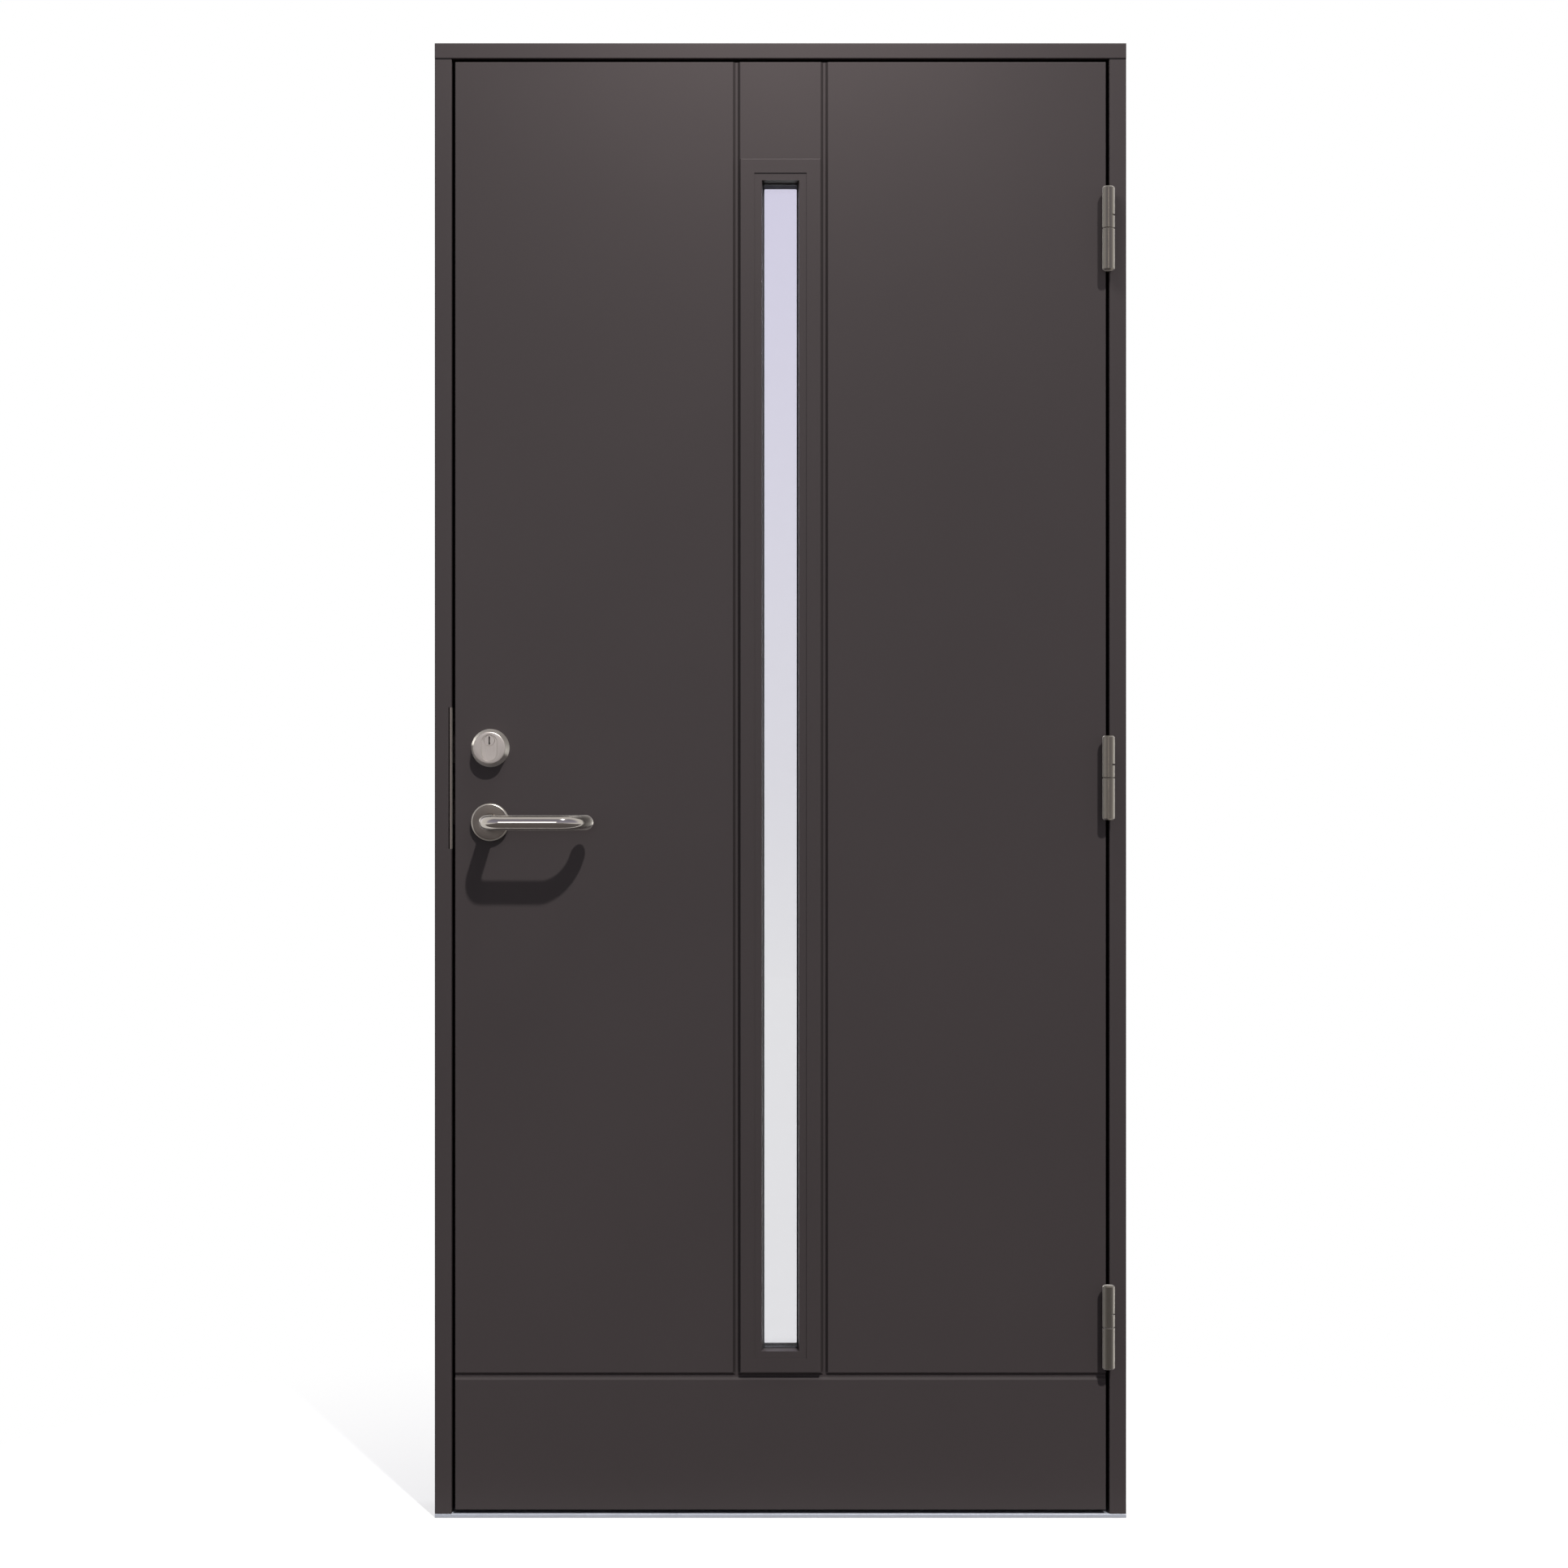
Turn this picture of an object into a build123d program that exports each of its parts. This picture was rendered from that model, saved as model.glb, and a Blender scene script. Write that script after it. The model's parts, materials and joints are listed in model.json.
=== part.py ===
from build123d import *
import os

os.makedirs("parts", exist_ok=True)

# Frame: X to the right, Y into the wall, Z up, origin at the middle of the sill underside (mm).

# Outer frame
FRAME_W = 980.0
FRAME_H = 2090.0
FRAME_D = 105.0
JAMB_FACE = 24.0
HEAD_FACE = 22.0
STOP_STEP = 18.0
EDGE_R = 1.5

# How far a cut runs past the face it opens
CUT_OVER = 1.0

# Threshold
SILL_T = 6.0
SILL_UPSTAND_T = 3.0
SILL_UPSTAND_TOP = 25.0

# Leaf
LEAF_T = 62.0
LEAF_GAP = 5.0
LEAF_FOOT_GAP = 5.5
SEAL_ROOM = 5.0
SEAL_W = 9.0
SEAL_CLEAR = 0.3
SEAL_ROUND = 2.8
SKIN_T = 8.0
SKIN_EDGE_R = 0.9
STILE_W = 80.0
RAIL_H = 110.0

# Grooves in the skins
GROOVE_W = 10.4
GROOVE_DEPTH = 3.5
GROOVE_X = 62.2
GROOVE_Z = 201.0

# Glazing cassette and unit
CASSETTE_W = 114.0
CASSETTE_HEAD = 137.6
CASSETTE_RAISE = 4.5
CASSETTE_RIM = 20.0
BEAD_DROP = 1.2
BEAD_FLAT = 10.5
BEAD_SLOPE = 2.0
BEAD_DEPTH_OUT = 14.5
UNIT_INSET = 15.0
UNIT_CLEAR = 2.0
PANE_T = 4.0
PANE_GAP = 12.0
GLAZING_SEAL_T = 2.0
SPACER_W = 13.0

# Lock and lever
BACKSET = 50.0
LEVER_Z = 986.0
LOCK_SPAN = 105.0
RING_BASE_D = 54.0
RING_FRONT_D = 45.0
RING_H = 17.5
OVAL_W = 21.7
OVAL_H = 37.3
OVAL_RECESS = 0.8
OVAL_BEVEL = 0.3
PLUG_D = 15.3
PLUG_BEVEL = 0.4
PLUG_RISE = 10.4
PLUG_L = 30.0
PLUG_CLEAR = 0.05
KEYWAY_W = 2.0
KEYWAY_H = 11.4
KEYWAY_DEPTH = 22.0
ROSE_D = 53.5
ROSE_H = 9.0
ROSE_BEVEL = 2.0
LEVER_D = 21.0
LEVER_REACH = 148.0
GRIP_OUT = 76.0
NECK_BEND_R = 19.0
RETURN_BEND_R = 38.0
TIP_LEG = 1.0
LEVER_CLEAR = 0.3
NECK_START = 2.0
SPINDLE = 8.0
SPINDLE_SOCKET = 12.0
SPINDLE_HOLE_D = 18.0

# Forend, bolts and strike
FOREND_W = 22.0
FOREND_H = 235.0
FOREND_T = 3.0
FOREND_CORNER_R = 0.8
BOLT_W = 14.0
LATCH_H = 30.0
DEADBOLT_H = 36.0
LATCH_RISE = 14.0
BOLT_L = 30.0
BOLT_NOSE = 1.5
BOLT_BEVEL = 0.9
STRIKE_T = 2.5
STRIKE_BELOW = 38.0
STRIKE_ABOVE = 57.5
STRIKE_W = 46.0
STRIKE_ROOM = 3.0
STRIKE_RELIEF_W = 1.8
STRIKE_RELIEF_DEPTH = 8.0
POCKET_DEPTH = 12.0

# Hinges
HINGE_D = 17.0
HINGE_HALF = 59.0
HINGE_SEAM = 1.0
SEAM_BEVEL = 0.5
HINGE_OUT = 13.0
HINGE_END = 2.0
HINGE_FROM_FOOT = 261.0
HINGE_FROM_HEAD = 238.0
PIN_D = 10.0
PIN_BEVEL = 1.0
PIN_UP = 42.0
PIN_CLEAR = 0.05
PIN_END_ROOM = 3.0
FLAG_T = 2.5
FLAG_DEPTH = 34.0
NOTCH_H = 2.5
NOTCH_DEPTH = 4.0
NOTCH_RISE = 17.0

# Fixing holes through the stops of the jambs
FIX_D = 14.0
FIX_FROM_FOOT = 200.0
FIX_FROM_HEAD = 210.0

# Worked out from the above
HALF_W = FRAME_W / 2
Y_FRONT = -FRAME_D / 2
Y_BACK = FRAME_D / 2
Y_LEAF_BACK = Y_FRONT + LEAF_T
Y_STOP = Y_LEAF_BACK + SEAL_ROOM
X_REBATE = HALF_W - JAMB_FACE
X_STOP = X_REBATE - STOP_STEP
Z_HEAD = FRAME_H - HEAD_FACE
Z_STOP = Z_HEAD - STOP_STEP
X_LEAF = X_REBATE - LEAF_GAP
Z_LEAF0 = SILL_T + LEAF_FOOT_GAP
Z_LEAF1 = Z_HEAD - LEAF_GAP
LEAF_MID_Y = Y_FRONT + LEAF_T / 2
CASSETTE_Z0 = GROOVE_Z + GROOVE_W / 2
CASSETTE_Z1 = Z_LEAF1 - CASSETTE_HEAD
CYLINDER_Z = LEVER_Z + LOCK_SPAN
STRIKE_Z0 = LEVER_Z - STRIKE_BELOW
STRIKE_Z1 = CYLINDER_Z + STRIKE_ABOVE
HINGE_LOW_Z = Z_LEAF0 + HINGE_FROM_FOOT
HINGE_HIGH_Z = Z_LEAF1 - HINGE_FROM_HEAD
HINGE_SEAMS_Z = (HINGE_LOW_Z, (HINGE_LOW_Z + HINGE_HIGH_Z) / 2, HINGE_HIGH_Z)
FIX_FAR = FRAME_H - FIX_FROM_FOOT - FIX_FROM_HEAD
FIX_NEAR = FIX_FAR / 3
FIX_CENTRE_Z = FIX_FROM_FOOT + FIX_FAR / 2
Y_CORE0 = Y_FRONT + SKIN_T
Y_CORE1 = Y_LEAF_BACK - SKIN_T
LOCK_X = -X_LEAF + BACKSET
PLUG_Z = CYLINDER_Z + PLUG_RISE
LATCH_Z = LEVER_Z + LATCH_RISE
FOREND_Z = (STRIKE_Z0 + STRIKE_Z1) / 2
HINGE_X = X_LEAF + LEAF_GAP / 2
HINGE_Y = Y_FRONT - HINGE_OUT
FIX_Y = (Y_STOP + Y_BACK) / 2
CASSETTE_MID_Z = (CASSETTE_Z0 + CASSETTE_Z1) / 2
CASSETTE_H = CASSETTE_Z1 - CASSETTE_Z0
HOLE_W = CASSETTE_W - 2 * UNIT_INSET
HOLE_H = CASSETTE_H - 2 * UNIT_INSET
OPENING_W = CASSETTE_W - 2 * (CASSETTE_RIM + BEAD_FLAT)
OPENING_H = CASSETTE_H - 2 * (CASSETTE_RIM + BEAD_FLAT)
UNIT_W = HOLE_W - 2 * UNIT_CLEAR
UNIT_H = HOLE_H - 2 * UNIT_CLEAR
Y_CASSETTE_OUT = Y_FRONT - CASSETTE_RAISE
Y_CASSETTE_IN = Y_LEAF_BACK + CASSETTE_RAISE
Y_PANE_OUT = Y_CASSETTE_OUT + BEAD_DEPTH_OUT + GLAZING_SEAL_T
Y_PANE_MID = Y_PANE_OUT + PANE_T + PANE_GAP
Y_PANE_IN = Y_PANE_MID + PANE_T + PANE_GAP
Y_UNIT_BACK = Y_PANE_IN + PANE_T
BEAD_DEPTH_IN = Y_CASSETTE_IN - Y_UNIT_BACK - GLAZING_SEAL_T


def front_plane(y):
    """Plane facing the front at depth y, with sketch axes X and Z."""
    return Plane.XZ.offset(-y)


def back_plane(y):
    """Plane facing the back at depth y, with sketch axes minus X and Z."""
    return Plane(origin=(0, y, 0), x_dir=(-1, 0, 0), z_dir=(0, 1, 0))


def block(x0, x1, y0, y1, z0, z1, mode=Mode.ADD):
    """Box between two corners in the current part."""
    with Locations(((x0 + x1) / 2, (y0 + y1) / 2, (z0 + z1) / 2)):
        Box(x1 - x0, y1 - y0, z1 - z0, mode=mode)


def save(part, name):
    """Label a piece and write it out."""
    part.label = name
    export_step(part, "parts/" + name + ".step")


def jamb_profile(side):
    """Corner points of a jamb section: face, rebate and stop."""
    return [
        (side * HALF_W, Y_FRONT),
        (side * X_REBATE, Y_FRONT),
        (side * X_REBATE, Y_STOP),
        (side * X_STOP, Y_STOP),
        (side * X_STOP, Y_BACK),
        (side * HALF_W, Y_BACK),
    ]


def frame_flag(seam):
    """Lowest and highest point of the flag on a frame half, below the seam."""
    top = seam - HINGE_SEAM / 2
    return top - HINGE_HALF + HINGE_END, top - SEAM_BEVEL


def leaf_flag(seam):
    """Lowest and highest point of the flag on a leaf half, above the seam."""
    foot = seam + HINGE_SEAM / 2
    return foot + SEAM_BEVEL, foot + HINGE_HALF - HINGE_END


def bolt_rows():
    """Name, middle height and height of the latch and the dead bolt."""
    return ("latch_bolt", LATCH_Z, LATCH_H), ("dead_bolt", CYLINDER_Z, DEADBOLT_H)


def fixing_holes(side):
    """Four holes through the stop of a jamb, along X."""
    rises = (-FIX_FAR / 2, -FIX_NEAR / 2, FIX_NEAR / 2, FIX_FAR / 2)
    middle = side * (HALF_W + X_STOP) / 2
    with Locations(*[Location((middle, FIX_Y, FIX_CENTRE_Z + r), (0, 90, 0)) for r in rises]):
        Cylinder(FIX_D / 2, 2 * (HALF_W - X_STOP), mode=Mode.SUBTRACT)


# Latch jamb with the bed of the strike plate, a relief beside its front edge and the two bolt pockets
with BuildPart() as latch_jamb:
    with BuildSketch(Plane.XY.offset(SILL_T)):
        with BuildLine():
            Polyline(*jamb_profile(-1), close=True)
        make_face()
    extrude(amount=Z_HEAD - SILL_T)
    fillet(latch_jamb.edges().filter_by(Axis.Z).group_by(Axis.Y)[0], EDGE_R)
    fixing_holes(-1)
    block(-X_REBATE - STRIKE_T, -X_REBATE + CUT_OVER, Y_FRONT - CUT_OVER, Y_FRONT + STRIKE_W,
          STRIKE_Z0, STRIKE_Z1, mode=Mode.SUBTRACT)
    block(-X_REBATE - STRIKE_T - STRIKE_RELIEF_W, -X_REBATE,
          Y_FRONT - CUT_OVER, Y_FRONT + STRIKE_RELIEF_DEPTH, STRIKE_Z0, STRIKE_Z1, mode=Mode.SUBTRACT)
    for bolt_name, mid_z, tall in bolt_rows():
        block(-X_REBATE - POCKET_DEPTH, -X_REBATE,
              LEAF_MID_Y - BOLT_W / 2 - STRIKE_ROOM, LEAF_MID_Y + BOLT_W / 2 + STRIKE_ROOM,
              mid_z - tall / 2 - STRIKE_ROOM, mid_z + tall / 2 + STRIKE_ROOM, mode=Mode.SUBTRACT)
save(latch_jamb.part, "latch_jamb")

# Hinge jamb with the beds of three hinge flags
with BuildPart() as hinge_jamb:
    with BuildSketch(Plane.XY.offset(SILL_T)):
        with BuildLine():
            Polyline(*jamb_profile(1), close=True)
        make_face()
    extrude(amount=Z_HEAD - SILL_T)
    fillet(hinge_jamb.edges().filter_by(Axis.Z).group_by(Axis.Y)[0], EDGE_R)
    fixing_holes(1)
    for seam in HINGE_SEAMS_Z:
        low, high = frame_flag(seam)
        block(X_REBATE - CUT_OVER, X_REBATE + FLAG_T, Y_FRONT - CUT_OVER, Y_FRONT + FLAG_DEPTH, low, high,
              mode=Mode.SUBTRACT)
save(hinge_jamb.part, "hinge_jamb")

# Head board over both jambs, with its stop between them
with BuildPart() as head_jamb:
    block(-HALF_W, HALF_W, Y_FRONT, Y_BACK, Z_HEAD, FRAME_H)
    block(-X_STOP, X_STOP, Y_STOP, Y_BACK, Z_STOP, Z_HEAD)
    fillet(head_jamb.edges().filter_by(Axis.X).group_by(Axis.Y)[0], EDGE_R)
save(head_jamb.part, "head_jamb")

# Threshold: a flat metal plate under the jambs with an upstand behind the leaf
with BuildPart() as threshold_plate:
    block(-HALF_W, HALF_W, Y_FRONT, Y_BACK, 0, SILL_T)
    block(-X_STOP, X_STOP, Y_STOP, Y_STOP + SILL_UPSTAND_T, SILL_T, SILL_UPSTAND_TOP)
    fillet(threshold_plate.edges().filter_by(Axis.X).group_by(Axis.Y)[0], EDGE_R)
save(threshold_plate.part, "threshold_plate")

# Hardwood board on the plate, behind the upstand
with BuildPart() as threshold_board:
    block(-X_STOP, X_STOP, Y_STOP + SILL_UPSTAND_T, Y_BACK, SILL_T, SILL_UPSTAND_TOP)
    fillet(threshold_board.edges().filter_by(Axis.X).group_by(Axis.Z)[-1].sort_by(Axis.Y)[-1], EDGE_R)
save(threshold_board.part, "threshold_board")

# Seals on the stops, short of the leaf by a small clearance
SEAL_T = SEAL_ROOM - SEAL_CLEAR
SEAL_IN = (STOP_STEP - LEAF_GAP - SEAL_W) / 2
X_SEAL = X_STOP + SEAL_IN
Z_SEAL = Z_STOP + SEAL_IN
Z_SILL_SEAL = SILL_UPSTAND_TOP - SEAL_IN - SEAL_W
for side, name in ((-1, "latch_seal"), (1, "hinge_seal")):
    with BuildPart() as jamb_seal:
        near = min(side * X_SEAL, side * (X_SEAL + SEAL_W))
        block(near, near + SEAL_W, Y_STOP - SEAL_T, Y_STOP, Z_SILL_SEAL + SEAL_W, Z_SEAL)
        fillet(jamb_seal.edges().filter_by(Axis.Z).group_by(Axis.Y)[0], SEAL_ROUND)
    save(jamb_seal.part, name)
for low, name in ((Z_SEAL, "head_seal"), (Z_SILL_SEAL, "threshold_seal")):
    with BuildPart() as cross_seal:
        reach = X_SEAL + SEAL_W if name == "head_seal" else X_STOP
        block(-reach, reach, Y_STOP - SEAL_T, Y_STOP, low, low + SEAL_W)
        fillet(cross_seal.edges().filter_by(Axis.X).group_by(Axis.Y)[0], SEAL_ROUND)
    save(cross_seal.part, name)

# Strike plate with two bolt windows
with BuildPart() as strike_plate:
    block(-X_REBATE - STRIKE_T, -X_REBATE, Y_FRONT, Y_FRONT + STRIKE_W, STRIKE_Z0, STRIKE_Z1)
    for bolt_name, mid_z, tall in bolt_rows():
        block(-X_REBATE - STRIKE_T - CUT_OVER, -X_REBATE + CUT_OVER,
              LEAF_MID_Y - BOLT_W / 2 - STRIKE_ROOM, LEAF_MID_Y + BOLT_W / 2 + STRIKE_ROOM,
              mid_z - tall / 2 - STRIKE_ROOM, mid_z + tall / 2 + STRIKE_ROOM, mode=Mode.SUBTRACT)
save(strike_plate.part, "strike_plate")

# Hinges: the frame half is the lower one and carries the pin, the leaf half hangs over it
for seam, place in zip(HINGE_SEAMS_Z, ("bottom", "middle", "top")):
    top_of_low = seam - HINGE_SEAM / 2
    foot_of_high = seam + HINGE_SEAM / 2
    with BuildPart() as hinge_frame:
        with Locations((HINGE_X, HINGE_Y, top_of_low - HINGE_HALF / 2)):
            Cylinder(HINGE_D / 2, HINGE_HALF)
        chamfer(hinge_frame.edges().group_by(Axis.Z)[0], HINGE_END)
        chamfer(hinge_frame.edges().group_by(Axis.Z)[-1], SEAM_BEVEL)
        block(X_REBATE, X_REBATE + FLAG_T, HINGE_Y, Y_FRONT + FLAG_DEPTH, *frame_flag(seam))
        with Locations((HINGE_X, HINGE_Y, top_of_low)):
            Cylinder(PIN_D / 2, PIN_UP, align=(Align.CENTER, Align.CENTER, Align.MIN))
        chamfer(hinge_frame.edges().group_by(Axis.Z)[-1], PIN_BEVEL)
    save(hinge_frame.part, "hinge_frame_" + place)
    with BuildPart() as hinge_leaf:
        with Locations((HINGE_X, HINGE_Y, foot_of_high + HINGE_HALF / 2)):
            Cylinder(HINGE_D / 2, HINGE_HALF)
        chamfer(hinge_leaf.edges().group_by(Axis.Z)[-1], HINGE_END)
        chamfer(hinge_leaf.edges().group_by(Axis.Z)[0], SEAM_BEVEL)
        block(X_LEAF - FLAG_T, X_LEAF, HINGE_Y, Y_FRONT + FLAG_DEPTH, *leaf_flag(seam))
        with Locations((HINGE_X, HINGE_Y, foot_of_high)):
            Cylinder(PIN_D / 2 + PIN_CLEAR, PIN_UP - HINGE_SEAM + PIN_END_ROOM,
                     align=(Align.CENTER, Align.CENTER, Align.MIN), mode=Mode.SUBTRACT)
        block(HINGE_X + HINGE_D / 2 - NOTCH_DEPTH, HINGE_X + HINGE_D, HINGE_Y - HINGE_D, HINGE_Y + HINGE_D,
              foot_of_high + NOTCH_RISE, foot_of_high + NOTCH_RISE + NOTCH_H, mode=Mode.SUBTRACT)
    save(hinge_leaf.part, "hinge_leaf_" + place)

# Leaf timber: stiles the full height, rails between them
with BuildPart() as latch_stile:
    block(-X_LEAF, -X_LEAF + STILE_W, Y_CORE0, Y_CORE1, Z_LEAF0, Z_LEAF1)
    block(-X_LEAF - CUT_OVER, -X_LEAF + FOREND_T, LEAF_MID_Y - FOREND_W / 2, LEAF_MID_Y + FOREND_W / 2,
          FOREND_Z - FOREND_H / 2, FOREND_Z + FOREND_H / 2, mode=Mode.SUBTRACT)
    for bolt_name, mid_z, tall in bolt_rows():
        block(-X_LEAF, -X_LEAF + BOLT_L, LEAF_MID_Y - BOLT_W / 2, LEAF_MID_Y + BOLT_W / 2,
              mid_z - tall / 2, mid_z + tall / 2, mode=Mode.SUBTRACT)
    with BuildSketch(front_plane(Y_CORE0)):
        with Locations((LOCK_X, LEVER_Z)):
            Circle(SPINDLE_HOLE_D / 2)
        with Locations((LOCK_X, CYLINDER_Z)):
            SlotOverall(OVAL_H, OVAL_W, rotation=90)
    extrude(amount=-(Y_CORE1 - Y_CORE0), mode=Mode.SUBTRACT)
save(latch_stile.part, "latch_stile")

with BuildPart() as hinge_stile:
    block(X_LEAF - STILE_W, X_LEAF, Y_CORE0, Y_CORE1, Z_LEAF0, Z_LEAF1)
    for seam in HINGE_SEAMS_Z:
        low, high = leaf_flag(seam)
        block(X_LEAF - FLAG_T, X_LEAF + CUT_OVER, Y_FRONT, Y_FRONT + FLAG_DEPTH, low, high,
              mode=Mode.SUBTRACT)
save(hinge_stile.part, "hinge_stile")

X_RAIL = X_LEAF - STILE_W
with BuildPart() as bottom_rail:
    block(-X_RAIL, X_RAIL, Y_CORE0, Y_CORE1, Z_LEAF0, Z_LEAF0 + RAIL_H)
save(bottom_rail.part, "bottom_rail")

with BuildPart() as top_rail:
    block(-X_RAIL, X_RAIL, Y_CORE0, Y_CORE1, Z_LEAF1 - RAIL_H, Z_LEAF1)
save(top_rail.part, "top_rail")

with BuildPart() as insulation_core:
    block(-X_RAIL, X_RAIL, Y_CORE0, Y_CORE1, Z_LEAF0 + RAIL_H, Z_LEAF1 - RAIL_H)
    block(-HOLE_W / 2, HOLE_W / 2, Y_CORE0 - CUT_OVER, Y_CORE1 + CUT_OVER,
          CASSETTE_MID_Z - HOLE_H / 2, CASSETTE_MID_Z + HOLE_H / 2, mode=Mode.SUBTRACT)
save(insulation_core.part, "insulation_core")

# Skins: flat boards with a grooved outside, cut for the glazing, the lever and the cylinder
GROOVE_FLOOR = GROOVE_W - 2 * GROOVE_DEPTH
for name, face_y, inward in (("outer_skin", Y_FRONT, 1), ("inner_skin", Y_LEAF_BACK, -1)):
    groove_cut = [
        (-GROOVE_W / 2 - CUT_OVER, -inward * CUT_OVER),
        (GROOVE_W / 2 + CUT_OVER, -inward * CUT_OVER),
        (GROOVE_FLOOR / 2, inward * GROOVE_DEPTH),
        (-GROOVE_FLOOR / 2, inward * GROOVE_DEPTH),
    ]
    with BuildPart() as skin:
        y_low = min(face_y, face_y + inward * SKIN_T)
        block(-X_LEAF, X_LEAF, y_low, y_low + SKIN_T, Z_LEAF0, Z_LEAF1)
        fillet(skin.faces().sort_by(Axis.Y)[0 if inward > 0 else -1].edges(), SKIN_EDGE_R)
        with BuildSketch(Plane.XY.offset(GROOVE_Z)):
            with Locations((-GROOVE_X, face_y), (GROOVE_X, face_y)):
                Polygon(*groove_cut, align=None)
        extrude(amount=Z_LEAF1 - GROOVE_Z + CUT_OVER, mode=Mode.SUBTRACT)
        with BuildSketch(Plane.YZ.offset(-X_LEAF - CUT_OVER)):
            with Locations((face_y, GROOVE_Z)):
                Polygon(*[(y, x) for x, y in groove_cut], align=None)
        extrude(amount=2 * (X_LEAF + CUT_OVER), mode=Mode.SUBTRACT)
        with BuildSketch(front_plane(y_low)):
            with Locations((0, CASSETTE_MID_Z)):
                Rectangle(HOLE_W, HOLE_H)
            with Locations((LOCK_X, LEVER_Z)):
                Circle(SPINDLE_HOLE_D / 2)
            with Locations((LOCK_X, CYLINDER_Z)):
                SlotOverall(OVAL_H, OVAL_W, rotation=90)
        extrude(amount=-SKIN_T, mode=Mode.SUBTRACT)
        if name == "outer_skin":
            for seam in HINGE_SEAMS_Z:
                low, high = leaf_flag(seam)
                block(X_LEAF - FLAG_T, X_LEAF + CUT_OVER, Y_FRONT - CUT_OVER, Y_FRONT + SKIN_T, low, high,
                      mode=Mode.SUBTRACT)
    save(skin.part, name)

# Glazing cassettes: a raised rim, a lower bead and a sloped reveal down to the glazing unit
for name, face_y, toward, depth in (
    ("outer_cassette", Y_CASSETTE_OUT, 1, BEAD_DEPTH_OUT),
    ("inner_cassette", Y_CASSETTE_IN, -1, BEAD_DEPTH_IN),
):
    plane = front_plane(face_y) if toward > 0 else back_plane(face_y)
    with BuildPart() as cassette:
        with BuildSketch(plane):
            with Locations((0, CASSETTE_MID_Z)):
                Rectangle(CASSETTE_W, CASSETTE_H)
        extrude(amount=-CASSETTE_RAISE)
        fillet(cassette.faces().sort_by(Axis.Y)[0 if toward > 0 else -1].edges(), EDGE_R)
        with BuildSketch(plane):
            with Locations((0, CASSETTE_MID_Z)):
                Rectangle(CASSETTE_W - 2 * CASSETTE_RIM, CASSETTE_H - 2 * CASSETTE_RIM)
        extrude(amount=-BEAD_DROP, mode=Mode.SUBTRACT)
        with BuildSketch(plane.offset(-CASSETTE_RAISE)):
            with Locations((0, CASSETTE_MID_Z)):
                Rectangle(UNIT_W, UNIT_H)
        extrude(amount=-(depth - CASSETTE_RAISE))
        with BuildSketch(plane.offset(-BEAD_DROP)):
            with Locations((0, CASSETTE_MID_Z)):
                Rectangle(OPENING_W, OPENING_H)
        with BuildSketch(plane.offset(-depth)):
            with Locations((0, CASSETTE_MID_Z)):
                Rectangle(OPENING_W - 2 * BEAD_SLOPE, OPENING_H - 2 * BEAD_SLOPE)
        loft(mode=Mode.SUBTRACT)
    save(cassette.part, name)

# Glazing unit: three panes, two spacers and two edge seals
for name, y_pane in (("outer_pane", Y_PANE_OUT), ("middle_pane", Y_PANE_MID), ("inner_pane", Y_PANE_IN)):
    with BuildPart() as pane:
        with Locations((0, y_pane + PANE_T / 2, CASSETTE_MID_Z)):
            Box(UNIT_W, PANE_T, UNIT_H)
    save(pane.part, name)
for name, y_gap in (("outer_spacer", Y_PANE_OUT + PANE_T), ("inner_spacer", Y_PANE_MID + PANE_T)):
    with BuildPart() as spacer:
        with Locations((0, y_gap + PANE_GAP / 2, CASSETTE_MID_Z)):
            Box(UNIT_W, PANE_GAP, UNIT_H)
            Box(UNIT_W - 2 * SPACER_W, PANE_GAP + 2 * CUT_OVER, UNIT_H - 2 * SPACER_W, mode=Mode.SUBTRACT)
    save(spacer.part, name)
for name, y_seal in (
    ("outer_glazing_seal", Y_PANE_OUT - GLAZING_SEAL_T),
    ("inner_glazing_seal", Y_UNIT_BACK),
):
    with BuildPart() as glazing_seal:
        with Locations((0, y_seal + GLAZING_SEAL_T / 2, CASSETTE_MID_Z)):
            Box(UNIT_W, GLAZING_SEAL_T, UNIT_H)
            Box(OPENING_W - 2 * BEAD_SLOPE, GLAZING_SEAL_T + 2 * CUT_OVER, OPENING_H - 2 * BEAD_SLOPE,
                mode=Mode.SUBTRACT)
    save(glazing_seal.part, name)

# Lock forend on the leaf edge, with both bolts drawn back
with BuildPart() as lock_forend:
    block(-X_LEAF, -X_LEAF + FOREND_T, LEAF_MID_Y - FOREND_W / 2, LEAF_MID_Y + FOREND_W / 2,
          FOREND_Z - FOREND_H / 2, FOREND_Z + FOREND_H / 2)
    fillet(lock_forend.edges().filter_by(Axis.X), FOREND_CORNER_R)
    for bolt_name, mid_z, tall in bolt_rows():
        block(-X_LEAF - CUT_OVER, -X_LEAF + FOREND_T + CUT_OVER,
              LEAF_MID_Y - BOLT_W / 2, LEAF_MID_Y + BOLT_W / 2,
              mid_z - tall / 2, mid_z + tall / 2, mode=Mode.SUBTRACT)
save(lock_forend.part, "lock_forend")
for bolt_name, mid_z, tall in bolt_rows():
    with BuildPart() as bolt:
        block(-X_LEAF - BOLT_NOSE, -X_LEAF + BOLT_L, LEAF_MID_Y - BOLT_W / 2, LEAF_MID_Y + BOLT_W / 2,
              mid_z - tall / 2, mid_z + tall / 2)
        chamfer(bolt.faces().sort_by(Axis.X)[0].edges(), BOLT_BEVEL)
    save(bolt.part, bolt_name)

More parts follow.
